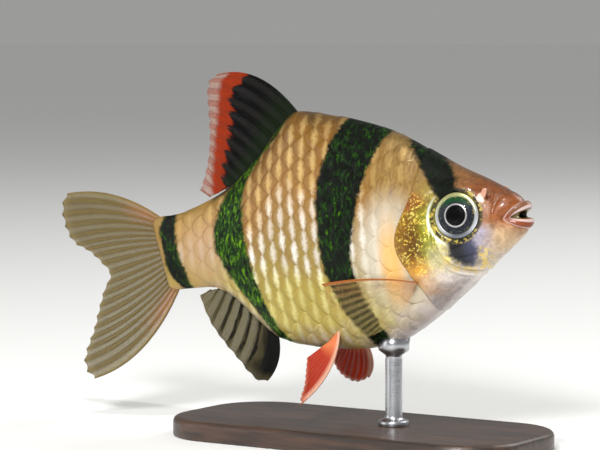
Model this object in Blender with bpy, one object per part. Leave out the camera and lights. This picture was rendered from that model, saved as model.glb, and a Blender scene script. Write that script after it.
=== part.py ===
"""Tiger barb: a still, life-size museum model of the fish on a plain display stand.

The object is in metres with +Z up, the snout towards +X and the fish's right side
towards -Y. Sizes below are millimetres, which solid() turns into metres. The fish is
drawn in its own frame, with its origin in the middle of the tail's root, and the
empty fish_pose tips it nose up and lifts it onto the rod. The stand is drawn in the
frame of the whole object, whose origin is the middle of the base's underside.
"""
import math

import bmesh
import bpy
from mathutils import Matrix, Vector

MM = 0.001
TOUCH_GAP = 0.3

# Pose and stand
NOSE_UP = math.radians(7.4)
TAIL_ROOT_X = -26.0
TAIL_ROOT_Z = 20.2
BASE_LENGTH = 44.0
BASE_WIDTH = 20.0
BASE_HEIGHT = 2.2
BASE_CORNER = 7.0
BASE_EDGE = 0.6
ROD_RADIUS = 0.95
FOOT_RADIUS = 1.7
ROD_AT = 29.0
CUP_RADIUS = 1.8
CUP_HEIGHT = 1.1

# The body's lines along the fish, each a list of (distance from the tail's root, value)
BACK = [(-1.5, 4.2), (2, 4.5), (5.8, 5.5), (8.6, 6.5), (11, 7.8), (14, 10.0), (17, 12.8), (19.6, 14.4),
        (24, 13.5), (28, 12.4), (32.7, 10.5), (36.3, 8.3), (40, 5.95), (43.3, 4.2), (45.9, 2.6), (48, 1.0)]
BELLY = [(-1.5, -4.55), (4.3, -4.6), (6.2, -4.8), (8.4, -6.0), (11.7, -9.1), (14.4, -11.2), (19.2, -12.5),
         (25.8, -13.1), (29.8, -12.6), (33.9, -10.9), (38.2, -8.1), (42.1, -5.4), (44.9, -3.5), (48, -1.2)]
WIDEST_HEIGHT = [(-1.5, -0.2), (18, 0.2), (30, -1.8), (37, -1.6), (41, -0.8), (44.6, -0.2), (48, -0.1)]
HALF_WIDTH = [(-1.5, 0.75), (2, 1.05), (6, 1.6), (10, 2.35), (14, 3.1), (19.6, 3.95), (25, 4.5), (30, 4.7),
              (36, 4.6), (39, 4.15), (42, 3.4), (44.6, 2.5), (46.5, 1.9), (48, 1.2)]
BACK_ROUNDNESS = 1.8
BELLY_ROUNDNESS = 2.1
POINTS_ROUND = 48

# Where the body is parted
ROOT_X = 0.05
ROOT_LEAN = -0.18
STALK_X = 4.55
STALK_LEAN = 0.09
GILL_X = 36.2
GILL_SWELL = 2.8
GILL_SWELL_AT = -1.7
GILL_SWELL_SPAN = 4.2
SNOUT_X = 44.6
STALK_RINGS = 5
TRUNK_RINGS = 15
HEAD_RINGS = 20

# Mouth, from the snout's end inwards: top x, z and droop, corner x, y and z, chin x and z.
# The droop is how far the upper lip's middle hangs below its arch.
SNOUT_LOOPS = [
    ((45.9, 2.62, 0.0), (45.0, 2.25, -0.25), (46.0, -2.72)),
    ((46.95, 1.8, 0.0), (45.25, 2.0, -0.25), (47.05, -1.92)),
]
LIP_LOOPS = [
    ((47.2, 1.42, 0.0), (45.35, 1.75, -0.22), (47.35, -1.5)),
    ((47.65, 1.3, 0.0), (45.75, 1.75, -0.2), (47.8, -1.28)),
    ((47.88, 1.0, 0.3), (46.0, 1.55, -0.17), (48.0, -0.85)),
    ((47.6, 0.7, 0.5), (46.0, 1.2, -0.15), (47.8, -0.4)),
]
THROAT_LOOPS = [
    ((46.6, 0.45, 0.3), (45.6, 0.9, -0.1), (46.8, -0.38)),
    ((45.4, 0.25, 0.0), (45.0, 0.5, -0.05), (45.4, -0.3)),
]

# Gill cover, eyes and nostrils
COVER_CENTRE = (38.6, -1.6)
COVER_RADIUS = 5.3
COVER_RISE = 0.3
EYE_AT = (40.6, 0.65)
EYE_RADIUS = 2.55
EYE_DEPTH = 1.2
EYE_STANDS_OUT = 0.6
EYE_LOOKS_AHEAD = math.radians(10)
ORBIT_RIM = 0.18
NOSTRIL_AT = (44.25, 2.35)
NOSTRIL_RADIUS = 0.5
NOSTRIL_PIT = 0.26
NOSTRIL_FLAP = 0.42

# Paired fins: how far their middle lies off the body at the root
ROOT_CLEAR = 0.68


def smooth(knots, x):
    """Height at x of the smooth line through knots, which never overshoots them."""
    if x <= knots[0][0]:
        return knots[0][1]
    if x >= knots[-1][0]:
        return knots[-1][1]
    right = next(i for i, knot in enumerate(knots) if knot[0] >= x)

    def rise(i):
        return (knots[i + 1][1] - knots[i][1]) / (knots[i + 1][0] - knots[i][0])

    def slope(i):
        if i == 0 or i == len(knots) - 1:
            return rise(0) if i == 0 else rise(i - 1)
        before, after = rise(i - 1), rise(i)
        return 2 * before * after / (before + after) if before * after > 0 else 0.0

    (x0, z0), (x1, z1) = knots[right - 1], knots[right]
    span = x1 - x0
    t = (x - x0) / span
    bend0, bend1 = slope(right - 1) * span, slope(right) * span
    return (z0 * (1 + 2 * t) * (1 - t) ** 2 + bend0 * t * (1 - t) ** 2
            + z1 * t * t * (3 - 2 * t) - bend1 * t * t * (1 - t))


def line_through(points):
    """Function of t from 0 to 1 along the smooth line through points."""
    reach = [0.0]
    for a, b in zip(points, points[1:]):
        reach.append(reach[-1] + math.dist(a, b))
    knots = [[(r / reach[-1], p[axis]) for r, p in zip(reach, points)] for axis in range(len(points[0]))]
    return lambda t: Vector([smooth(k, t) for k in knots])


def step(low, high, x):
    """0 below low, 1 above high, smooth between."""
    t = min(max((x - low) / (high - low), 0.0), 1.0)
    return t * t * (3 - 2 * t)


def relief(x, z):
    """How far the head's plates stand out of its plain form at a place seen from the side."""
    cover = math.hypot(x - COVER_CENTRE[0], z - COVER_CENTRE[1]) / COVER_RADIUS
    out = COVER_RISE * step(0.55, 0.95, cover) * (1 - step(1.0, 1.2, cover)) * (1 - step(37, 41, x))
    eye = math.hypot(x - EYE_AT[0], z - EYE_AT[1])
    out += ORBIT_RIM * math.exp(-((eye - EYE_RADIUS - 0.75) / 0.45) ** 2)
    return out


def flank(x, angle, plates=0.0):
    """Point of the body's surface at x, with angle 0 along the back and pi along the belly."""
    side, up = math.sin(angle), math.cos(angle)
    edge = smooth(BACK if up > 0 else BELLY, x)
    power = 2 / (BACK_ROUNDNESS if up > 0 else BELLY_ROUNDNESS)
    middle = smooth(WIDEST_HEIGHT, x)
    z = middle + (edge - middle) * abs(up) ** power
    wide = smooth(HALF_WIDTH, x) * abs(side) ** power
    wide += plates * relief(x, z) * step(0, 0.35, abs(side))
    return Vector((x, math.copysign(wide, side), z))


def angles():
    return [2 * math.pi * i / POINTS_ROUND for i in range(POINTS_ROUND)]


def ring(edge_at, plates=0.0):
    """Points round the body where x follows edge_at(z), the line where the body is parted."""
    points = []
    for angle in angles():
        x = edge_at(0)
        for _ in range(4):
            x = edge_at(flank(x, angle).z)
        points.append(flank(x, angle, plates))
    return points


def tail_edge(z):
    return ROOT_X + ROOT_LEAN * z


def stalk_edge(z):
    return STALK_X + STALK_LEAN * z


def gill_edge(z):
    """Line from the nape down the gill cover's rear edge to the throat."""
    return GILL_X - GILL_SWELL * math.exp(-((z - GILL_SWELL_AT) / GILL_SWELL_SPAN) ** 2)


def rings_between(rear, front, count, plates=0.0):
    """Rings from the line rear to the line front."""
    def between(share):
        return lambda z: rear(z) * (1 - share) + front(z) * share

    return [ring(between(i / (count - 1)), plates) for i in range(count)]


def shifted(edge, distance):
    return lambda z: edge(z) + distance


def mouth_loop(top, corner, chin):
    """Loop of points round the mouth through its top, corners and chin."""
    points = []
    for angle in angles():
        side, up = math.sin(angle), math.cos(angle)
        tip = top if up > 0 else chin
        x = corner[0] + (tip[0] - corner[0]) * abs(up)
        z = corner[2] + (tip[1] - corner[2]) * abs(up) ** 0.85
        z -= top[2] * step(0.75, 1.0, up)
        points.append(Vector((x, corner[1] * side, z)))
    return points


def middle_of(points):
    return sum(points, Vector()) / len(points)


def tube(rings, rear_centre=None, front_centre=None):
    """Closed skin over rings of points, with a fan over each end."""
    count = len(rings[0])
    points = [p for one in rings for p in one]
    faces = []
    for r in range(len(rings) - 1):
        for i in range(count):
            j = (i + 1) % count
            a, b = r * count + i, r * count + j
            c, d = a + count, b + count
            faces += [(a, c, b), (b, c, d)]
    points += [rear_centre or middle_of(rings[0]), front_centre or middle_of(rings[-1])]
    last = (len(rings) - 1) * count
    for i in range(count):
        j = (i + 1) % count
        faces += [(len(points) - 2, i, j), (len(points) - 1, last + j, last + i)]
    return points, faces


def material(name, colour, roughness, metallic=0.0):
    made = bpy.data.materials.new(name)
    made.use_nodes = True
    surface = made.node_tree.nodes["Principled BSDF"]
    surface.inputs["Base Color"].default_value = (*colour, 1.0)
    surface.inputs["Roughness"].default_value = roughness
    surface.inputs["Metallic"].default_value = metallic
    made.diffuse_color = (*colour, 1.0)
    return made


def solid(name, points, faces, finish, parent=None):
    """Object made of points in millimetres, with its faces turned outwards."""
    mesh = bpy.data.meshes.new(name)
    mesh.from_pydata([Vector(p) * MM for p in points], [], faces)
    bm = bmesh.new()
    bm.from_mesh(mesh)
    bmesh.ops.recalc_face_normals(bm, faces=bm.faces)
    bm.to_mesh(mesh)
    bm.free()
    mesh.shade_smooth()
    mesh.set_sharp_from_angle(angle=math.radians(50))
    mesh.materials.append(finish)
    made = bpy.data.objects.new(name, mesh)
    bpy.context.collection.objects.link(made)
    made.parent = parent
    return made


def body_nodes(pose):
    """Tail stalk, trunk and head, parted by thin gaps along real borders."""
    half_gap = TOUCH_GAP / 2
    stalk = rings_between(tail_edge, shifted(stalk_edge, -half_gap), STALK_RINGS)
    trunk = rings_between(shifted(stalk_edge, half_gap), shifted(gill_edge, -1.2 * half_gap), TRUNK_RINGS)
    head = rings_between(shifted(gill_edge, 1.2 * half_gap), lambda z: SNOUT_X, HEAD_RINGS, 1.0)
    for loops in (SNOUT_LOOPS, LIP_LOOPS, THROAT_LOOPS):
        head += [mouth_loop(*loop) for loop in loops]
    gold = material("barb_gold", (0.62, 0.45, 0.2), 0.35, 0.3)
    for name, rings in (("tail_stalk", stalk), ("trunk", trunk), ("head", head)):
        solid(name, *tube(rings), gold, pose)


def ball(centre, across, depth, rings=8, points_round=20, narrow=1.0):
    """Points and faces of a ball flattened along Y, and narrowed along X."""
    points = [Vector((centre[0], centre[1] - depth, centre[2]))]
    for r in range(1, rings):
        lean = math.pi * r / rings
        for i in range(points_round):
            turn = 2 * math.pi * i / points_round
            points.append(Vector((centre[0] + across * narrow * math.sin(lean) * math.cos(turn),
                                  centre[1] - depth * math.cos(lean),
                                  centre[2] + across * math.sin(lean) * math.sin(turn))))
    points.append(Vector((centre[0], centre[1] + depth, centre[2])))
    faces = []
    for i in range(points_round):
        j = (i + 1) % points_round
        faces.append((0, 1 + i, 1 + j))
        for r in range(rings - 2):
            a, b = 1 + r * points_round + i, 1 + r * points_round + j
            faces += [(a, a + points_round, b), (b, a + points_round, b + points_round)]
        last = 1 + (rings - 2) * points_round
        faces.append((last + j, last + i, len(points) - 1))
    return points, faces


def side_of_body(x, z):
    """Half the body's width at a place seen from the side."""
    edge = smooth(BACK if z > smooth(WIDEST_HEIGHT, x) else BELLY, x)
    middle = smooth(WIDEST_HEIGHT, x)
    roundness = BACK_ROUNDNESS if z > middle else BELLY_ROUNDNESS
    share = min(abs((z - middle) / (edge - middle)), 1.0)
    return smooth(HALF_WIDTH, x) * (1 - share ** roundness) ** (1 / roundness)


def combine(target, operation, points, faces):
    """Join a closed shape to target, or cut its space out of it."""
    tool = solid("tool", points, faces, target.data.materials[0], target.parent)
    tool.hide_render = True
    tool.display_type = "WIRE"
    change = target.modifiers.new("change", "BOOLEAN")
    change.operation = operation
    change.solver = "EXACT"
    change.object = tool
    bpy.context.view_layer.update()
    seen = target.evaluated_get(bpy.context.evaluated_depsgraph_get())
    mesh = bpy.data.meshes.new_from_object(seen)
    target.modifiers.remove(change)
    target.data = mesh
    bpy.data.objects.remove(tool)


def nostrils():
    """Rim, pit and flap of the nostril on each side of the snout."""
    head = bpy.data.objects["head"]
    x, z = NOSTRIL_AT
    y = side_of_body(x, z)
    for side in (-1, 1):
        rim = (x, side * y, z)
        flap = (x - 0.35, side * (y + 0.15), z + 0.25)
        pit = (x + 0.15, side * (y + 0.2), z + 0.05)
        combine(head, "UNION", *ball(rim, NOSTRIL_RADIUS, 0.28, 6, 12))
        combine(head, "UNION", *ball(flap, NOSTRIL_FLAP, 0.4, 6, 12, 0.5))
        combine(head, "DIFFERENCE", *ball(pit, NOSTRIL_PIT, 0.4, 6, 12))


def eye_nodes(pose):
    """Eyes as flattened balls, each in a socket cut a touching gap wider."""
    black = material("barb_eye", (0.03, 0.04, 0.06), 0.1)
    head = bpy.data.objects["head"]
    x, z = EYE_AT
    for name, side in (("eye_right", -1), ("eye_left", 1)):
        centre = Vector((x, side * (side_of_body(x, z) + EYE_STANDS_OUT - EYE_DEPTH), z))
        turn = Matrix.Rotation(-side * EYE_LOOKS_AHEAD, 3, "Z")

        def turned(points, faces):
            return [centre + turn @ (p - centre) for p in points], faces

        solid(name, *turned(*ball(centre, EYE_RADIUS, EYE_DEPTH)), black, pose)
        socket = ball(centre, EYE_RADIUS + TOUCH_GAP, EYE_DEPTH + TOUCH_GAP)
        combine(head, "DIFFERENCE", *turned(*socket))


def fin(name, root, tips, rays, rows, bow, thick, finish, pose, across=None):
    """Fin as a thin closed membrane whose rays stand up as ridges on both faces.

    root and tips are functions of t from the first ray to the last one, bow gives how
    far a ray bends off its straight line at its middle, and thick is the pair of half
    thicknesses at the root, between the rays and on them. across turns the flat fin
    into its set in space.
    """
    columns = 2 * rays + 1
    thin, ridge = thick
    faces_of = [[], []]
    middle = []
    for c in range(columns):
        t = c / (columns - 1)
        start, end = root(t), tips(t)
        for r in range(rows + 1):
            s = r / rows
            middle.append(start.lerp(end, s) + bow(t) * (4 * s * (1 - s)))
    for c in range(columns):
        on_ray = c % 2 == 1 or c in (0, columns - 1)
        for r in range(rows + 1):
            s = r / rows
            here = middle[c * (rows + 1) + r]
            half = (ridge - (ridge - thin) * s) if on_ray else thin
            half *= 1 - 0.45 * step(0.86, 1.0, s)
            along = middle[c * (rows + 1) + min(r + 1, rows)] - middle[c * (rows + 1) + max(r - 1, 0)]
            beside = (middle[min(c + 1, columns - 1) * (rows + 1) + r]
                      - middle[max(c - 1, 0) * (rows + 1) + r])
            out = along.cross(beside).normalized()
            faces_of[0].append(here + out * half)
            faces_of[1].append(here - out * half)
    points = faces_of[0] + faces_of[1]
    other = len(faces_of[0])
    faces = []

    def wall(a, b):
        faces.extend([(a, b, a + other), (b, b + other, a + other)])

    def at(c, r):
        return c * (rows + 1) + r

    for c in range(columns - 1):
        for r in range(rows):
            a, b, d, e = at(c, r), at(c + 1, r), at(c, r + 1), at(c + 1, r + 1)
            faces += [(a, b, d), (b, e, d)]
            faces += [(a + other, d + other, b + other), (b + other, d + other, e + other)]
        wall(at(c, 0), at(c + 1, 0))
        wall(at(c, rows), at(c + 1, rows))
    for r in range(rows):
        wall(at(0, r), at(0, r + 1))
        wall(at(columns - 1, r), at(columns - 1, r + 1))
    if across:
        points = [across(p) for p in points]
    return solid(name, points, faces, finish, pose)


def flat(points):
    """Smooth line in the fish's middle plane through points seen from the side."""
    return line_through([(x, 0.0, z) for x, z in points])


def body_line(knots, front, rear, away):
    """Line along the back or belly from front to rear, a touching gap away from it."""
    def at(t):
        x = front + (rear - front) * t
        tilt = (smooth(knots, x + 0.4) - smooth(knots, x - 0.4)) / 0.8
        off = Vector((-tilt, 0, 1)).normalized() * away
        return Vector((x, 0, smooth(knots, x))) + off

    return at


def median_fins(pose):
    """Dorsal, tail and anal fins, all in the fish's middle plane."""
    dark = material("barb_fin_dark", (0.06, 0.06, 0.05), 0.5)
    clear = material("barb_fin_clear", (0.45, 0.4, 0.22), 0.45)
    dorsal_tips = flat([(9.2, 19.7), (7.9, 19.1), (7.5, 17.6), (7.4, 15.2), (7.3, 13.0), (6.8, 10.5),
                        (6.0, 8.4), (5.1, 6.75)])
    fin("dorsal_fin", body_line(BACK, 19.3, 6.4, TOUCH_GAP), dorsal_tips, 11, 9,
        lambda t: Vector((0.35, 0, 1.6)) * (1 - t) ** 2, (0.25, 0.44), dark, pose)
    anal_tips = flat([(11.6, -15.8), (10.6, -15.8), (9.3, -14.9), (8.1, -13.4), (5.9, -10.7), (4.6, -8.7),
                      (3.8, -6.6), (3.5, -5.35)])
    fin("anal_fin", body_line(BELLY, 13.9, 4.9, -TOUCH_GAP), anal_tips, 9, 8,
        lambda t: Vector((0.6, 0, -0.3)) * (1 - t) ** 2, (0.25, 0.44), dark, pose)
    tail_tips = flat([(-14.3, 8.3), (-15.2, 7.4), (-15.5, 6.0), (-15.1, 3.9), (-14.0, 2.2), (-12.2, 1.2),
                      (-10.5, -0.3), (-9.3, -1.9), (-10.4, -3.6), (-11.6, -6.0), (-12.5, -8.0),
                      (-14.2, -10.9), (-14.6, -12.1), (-14.3, -13.2), (-13.2, -14.1)])

    def tail_root(t):
        z = 4.1 - 8.5 * t
        return Vector((tail_edge(z) - TOUCH_GAP * 1.02, 0, z))

    def tail_bow(t):
        return Vector((0.2, 0, 1.25)) * (1 - t) ** 3 + Vector((0.7, 0, -1.7)) * t ** 3

    fin("caudal_fin", tail_root, tail_tips, 16, 11, tail_bow, (0.25, 0.46), clear, pose)


def fin_beside(tips, y_tips, side):
    """Smooth line through the tips of a paired fin, which spread out from y_tips[0] to y_tips[1]."""
    last = len(tips) - 1
    spread = [y_tips[0] + (y_tips[1] - y_tips[0]) * i / last for i in range(len(tips))]
    return line_through([(x, side * y, z) for (x, z), y in zip(tips, spread)])


def root_beside(first, last, side):
    """Line just off the body's side between two places seen from the side."""
    def at(t):
        x = first[0] + (last[0] - first[0]) * t
        z = first[1] + (last[1] - first[1]) * t
        return Vector((x, side * (side_of_body(x, z) + ROOT_CLEAR), z))

    return at



def paired_fins(pose):
    """Pelvic fins under the belly and pectoral fins behind the gill covers."""
    red = material("barb_fin_red", (0.75, 0.17, 0.05), 0.45)
    clear = material("barb_fin_pale", (0.7, 0.5, 0.35), 0.4)
    pelvic_tips = {"pelvic_fin_right": ([(18.1, -18.5), (17.9, -18.2), (18.6, -16.4), (18.9, -14.8),
                                         (19.1, -13.4)], (3.5, 2.7)),
                   "pelvic_fin_left": ([(22.0, -16.6), (20.8, -17.0), (19.6, -16.4), (18.9, -15.2),
                                        (18.8, -13.9)], (5.2, 2.9))}
    for name, side in (("pelvic_fin_right", -1), ("pelvic_fin_left", 1)):
        tips, spread = pelvic_tips[name]
        fin(name, root_beside((23.4, -11.9), (21.2, -12.2), side), fin_beside(tips, spread, side), 8, 6,
            lambda t: Vector((0.9, 0, -0.3)) * (1 - t) ** 2, (0.25, 0.42), red, pose)
    pectoral_tips = [(24.6, -5.2), (24.7, -6.6), (25.1, -8.3), (26.0, -9.8), (27.3, -11.0), (29.0, -11.5),
                     (30.7, -11.0)]
    for name, side in (("pectoral_fin_right", -1), ("pectoral_fin_left", 1)):
        fin(name, root_beside((34.5, -5.8), (34.4, -7.6), side), fin_beside(pectoral_tips, (6.6, 5.3), side),
            9, 7, lambda t: Vector((0, 0, 0.4)) * (1 - 2 * t), (0.25, 0.4), clear, pose)


def stand_nodes():
    """Flat base, and the rod whose cup holds the fish under its belly."""
    wood = material("stand_wood", (0.05, 0.035, 0.025), 0.4)
    steel = material("stand_steel", (0.6, 0.6, 0.6), 0.25, 1.0)
    solid("stand_base", *base_form(), wood)
    turn = Matrix.Rotation(-NOSE_UP, 3, "Y")
    lift = Vector((TAIL_ROOT_X, 0, TAIL_ROOT_Z))
    foot = lift + turn @ Vector((ROD_AT, 0, smooth(BELLY, ROD_AT)))

    def under_belly(x, y):
        """Point of the cup's inner face, a touching gap below the belly."""
        along = (turn.inverted() @ (Vector((x, y, foot.z)) - lift)).x
        middle, half = smooth(WIDEST_HEIGHT, along), smooth(HALF_WIDTH, along)
        drop = (1 - min(abs(y) / half, 1) ** BELLY_ROUNDNESS) ** (1 / BELLY_ROUNDNESS)
        z = middle + (smooth(BELLY, along) - middle) * drop
        return Vector((x, y, (lift + turn @ Vector((along, y, z))).z - 1.05 * TOUCH_GAP))

    def level_ring(radius, z):
        return [Vector((foot.x + radius * math.cos(a), radius * math.sin(a), z)) for a in circle(24)]

    neck = foot.z - CUP_HEIGHT
    floor = BASE_HEIGHT + TOUCH_GAP
    rings = [level_ring(FOOT_RADIUS, floor), level_ring(FOOT_RADIUS, floor + 0.35),
             level_ring(ROD_RADIUS, floor + 0.8), level_ring(ROD_RADIUS, neck - 0.6),
             level_ring(0.6 * CUP_RADIUS, neck), level_ring(0.93 * CUP_RADIUS, neck + 0.4)]
    for share in (1.0, 0.66, 0.33):
        rings.append([under_belly(p.x, p.y) for p in level_ring(CUP_RADIUS * share, 0)])
    solid("stand_rod", *tube(rings, front_centre=under_belly(foot.x, 0)), steel)


def circle(count):
    return [2 * math.pi * i / count for i in range(count)]


def base_form():
    """Base with round corners and a softened top edge."""
    def outline(inset, z):
        points = []
        for i, turn in enumerate(circle(32)):
            x = math.copysign(BASE_LENGTH / 2 - BASE_CORNER, math.cos(turn + 0.01))
            y = math.copysign(BASE_WIDTH / 2 - BASE_CORNER, math.sin(turn + 0.01))
            reach = BASE_CORNER - inset
            points.append(Vector((x + reach * math.cos(turn), y + reach * math.sin(turn), z)))
        return points

    top = BASE_HEIGHT
    levels = [(0.3, 0.0), (0.0, 0.3), (0.0, top - BASE_EDGE), (0.3 * BASE_EDGE, top - 0.3 * BASE_EDGE),
              (BASE_EDGE, top)]
    return tube([outline(inset, z) for inset, z in levels])


def main():
    for old in list(bpy.data.objects):
        bpy.data.objects.remove(old)
    pose = bpy.data.objects.new("fish_pose", None)
    bpy.context.collection.objects.link(pose)
    pose.location = Vector((TAIL_ROOT_X, 0, TAIL_ROOT_Z)) * MM
    pose.rotation_euler = (0, -NOSE_UP, 0)
    body_nodes(pose)
    nostrils()
    eye_nodes(pose)
    median_fins(pose)
    paired_fins(pose)
    stand_nodes()


main()
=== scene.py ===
# %% [markdown]
# # A tiger barb, dressed
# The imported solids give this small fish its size, pose and outline. This lesson gives it
# its skin, scales, fins, eyes and stand. It starts from the solids, because each new piece
# has to lie where the solid piece lies.

# %% Load the solid model
import math

import bmesh
import bpy
import numpy as np
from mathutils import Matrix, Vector


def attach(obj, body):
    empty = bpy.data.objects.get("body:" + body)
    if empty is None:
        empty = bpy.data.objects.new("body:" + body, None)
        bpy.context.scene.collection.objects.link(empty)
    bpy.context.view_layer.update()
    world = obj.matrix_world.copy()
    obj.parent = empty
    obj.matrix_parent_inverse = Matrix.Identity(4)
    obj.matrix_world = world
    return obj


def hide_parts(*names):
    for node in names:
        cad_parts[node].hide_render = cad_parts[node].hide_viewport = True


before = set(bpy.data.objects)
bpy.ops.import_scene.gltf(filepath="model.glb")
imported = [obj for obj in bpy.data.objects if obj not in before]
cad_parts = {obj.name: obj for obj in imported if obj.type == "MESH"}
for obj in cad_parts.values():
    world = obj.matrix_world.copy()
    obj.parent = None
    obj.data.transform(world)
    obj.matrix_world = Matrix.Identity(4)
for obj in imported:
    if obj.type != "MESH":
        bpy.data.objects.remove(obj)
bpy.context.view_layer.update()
print("solid nodes:", sorted(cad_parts))

# %% [markdown]
# ## The fish's own frame
# The fish swims nose up, so its sizes are easiest to say along its own axis: millimetres
# from the middle of the tail's root, x to the snout, z to the back, y to its left side.
# One function tips these places into the object's frame. The same numbers place the
# markings later, in the materials.

# %% From the fish's frame to the object's
MM = 0.001
NOSE_UP = math.radians(7.4)
TAIL_ROOT = np.array([-26.0, 0.0, 20.2])


def to_world(points):
    """Places in the fish's frame, in millimetres, as metres in the object's frame."""
    points = np.asarray(points, float)
    x, y, z = points[..., 0], points[..., 1], points[..., 2]
    c, s = math.cos(NOSE_UP), math.sin(NOSE_UP)
    return (np.stack([x * c - z * s, y, x * s + z * c], -1) + TAIL_ROOT) * MM


def turn_to_world(directions):
    """Directions in the fish's frame, turned into the object's frame."""
    return to_world(directions) / MM - TAIL_ROOT


print("the snout lies at", (to_world([48, 0, 0]) / MM).round(1), "mm")

# %% [markdown]
# ## The body's lines
# A boat builder draws a hull from a few lines: the keel, the sheer and the half breadth.
# A fish's body is drawn the same way, from the line of the back, of the belly, of the
# widest height and of the half width. A curve that never overshoots its knots joins them.

# %% Lines of the body
BACK = [(-1.5, 4.2), (2, 4.5), (5.8, 5.5), (8.6, 6.5), (11, 7.8), (14, 10.0), (17, 12.8), (19.6, 14.4),
        (24, 13.5), (28, 12.4), (32.7, 10.5), (36.3, 8.3), (40, 5.95), (43.3, 4.2), (45.9, 2.6), (48, 1.0)]
BELLY = [(-1.5, -4.55), (4.3, -4.6), (6.2, -4.8), (8.4, -6.0), (11.7, -9.1), (14.4, -11.2), (19.2, -12.5),
         (25.8, -13.1), (29.8, -12.6), (33.9, -10.9), (38.2, -8.1), (42.1, -5.4), (44.9, -3.5), (48, -1.2)]
WIDEST_HEIGHT = [(-1.5, -0.2), (18, 0.2), (30, -1.8), (37, -1.6), (41, -0.8), (44.6, -0.2), (48, -0.1)]
HALF_WIDTH = [(-1.5, 0.75), (2, 1.05), (6, 1.6), (10, 2.35), (14, 3.1), (19.6, 3.95), (25, 4.5), (30, 4.7),
              (36, 4.6), (39, 4.15), (42, 3.4), (44.6, 2.5), (46.5, 1.9), (48, 1.2)]
BACK_ROUNDNESS = 1.8
BELLY_ROUNDNESS = 2.1


def smooth(knots, x):
    """Height at x of the smooth line through knots, which never overshoots them."""
    at, value = np.array(knots, float).T
    x = np.clip(np.asarray(x, float), at[0], at[-1])
    rise = np.diff(value) / np.diff(at)
    slope = np.concatenate([rise[:1], np.zeros(len(at) - 2), rise[-1:]])
    before, after = rise[:-1], rise[1:]
    bends = before * after > 0
    slope[1:-1][bends] = 2 * before[bends] * after[bends] / (before + after)[bends]
    i = np.clip(np.searchsorted(at, x) - 1, 0, len(rise) - 1)
    span = at[i + 1] - at[i]
    t = (x - at[i]) / span
    return (value[i] * (1 + 2 * t) * (1 - t) ** 2 + slope[i] * span * t * (1 - t) ** 2
            + value[i + 1] * t * t * (3 - 2 * t) - slope[i + 1] * span * t * t * (1 - t))


def step(low, high, x):
    """0 below low, 1 above high, smooth between."""
    t = np.clip((np.asarray(x, float) - low) / (high - low), 0.0, 1.0)
    return t * t * (3 - 2 * t)


def flank(x, angle):
    """Places on the body at x, with angle 0 along the back and pi along the belly."""
    x = np.broadcast_to(np.asarray(x, float), np.shape(angle))
    side, up = np.sin(angle), np.cos(angle)
    above = up > 0
    edge = np.where(above, smooth(BACK, x), smooth(BELLY, x))
    power = 2 / np.where(above, BACK_ROUNDNESS, BELLY_ROUNDNESS)
    middle = smooth(WIDEST_HEIGHT, x)
    z = middle + (edge - middle) * np.abs(up) ** power
    y = smooth(HALF_WIDTH, x) * np.sign(side) * np.abs(side) ** power
    return np.stack([x, y, z], -1)


print("deepest:", round(float(smooth(BACK, 22) - smooth(BELLY, 22)), 1), "mm")

# %% [markdown]
# ## Plates and folds of the head
# A barb's head has no scales. Thin bones show through its skin instead: the gill cover
# with its free rear edge, the curved edge in front of it, and the ring round the eye. They
# are added to the plain form as heights, so that one mesh carries the whole body and no
# seam shows. Displacing a mesh by a formula is the tidy way where the forms are low.

# %% Heights of the head's plates
GILL_X, GILL_SWELL, GILL_SWELL_AT, GILL_SWELL_SPAN = 36.2, 2.8, -1.7, 4.2
COVER_CENTRE, COVER_RADIUS, COVER_RISE = (38.6, -1.6), 5.3, 0.34
# Centre and radius of the fold that bends round the cheek, below an upright part
CHEEK_EDGE_X, CHEEK_BEND = 37.9, (42.2, -1.4, 4.3)
FOLD_RIDGE, FOLD_GROOVE, ORBIT_GROOVE = 0.1, 0.16, 0.09
EYE_AT, NOSTRIL_AT, PIT_AT = (40.6, 0.65), (44.2, 2.4), (44.0, 2.22)
SKIN_BELOW_SCALES = 0.12
ALWAYS = (-99, -98)
# Arcs of the head, seen from the side: centre, radius, half width, height, and the x and the z
# over which the arc fades in
ARCS = {
    "swell of the cheek": ((41.0, -3.3), 0.0, 1.5, 0.12, ALWAYS, ALWAYS),
    "mound of the nostril": (NOSTRIL_AT, 0.0, 0.6, 0.12, ALWAYS, ALWAYS),
    "pit of the nostril": (PIT_AT, 0.0, 0.2, -0.5, ALWAYS, ALWAYS),
    "rim of the pit": (PIT_AT, 0.36, 0.1, 0.14, ALWAYS, ALWAYS),
    "fold behind the lips": ((47.6, 0.2), 3.15, 0.14, -0.14, (44, 44.6), (-2.2, -1.2)),
    "fold over the nostril": ((43.1, 2.2), 0.95, 0.12, -0.08, ALWAYS, (1.2, 2.0)),
}


def gill_edge(z):
    """Line from the nape down the gill cover's rear edge to the throat."""
    return GILL_X - GILL_SWELL * np.exp(-((z - GILL_SWELL_AT) / GILL_SWELL_SPAN) ** 2)


def hump(distance, width):
    """Rounded rise of height 1 that fades with distance."""
    return np.exp(-(distance / width) ** 2)


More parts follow.
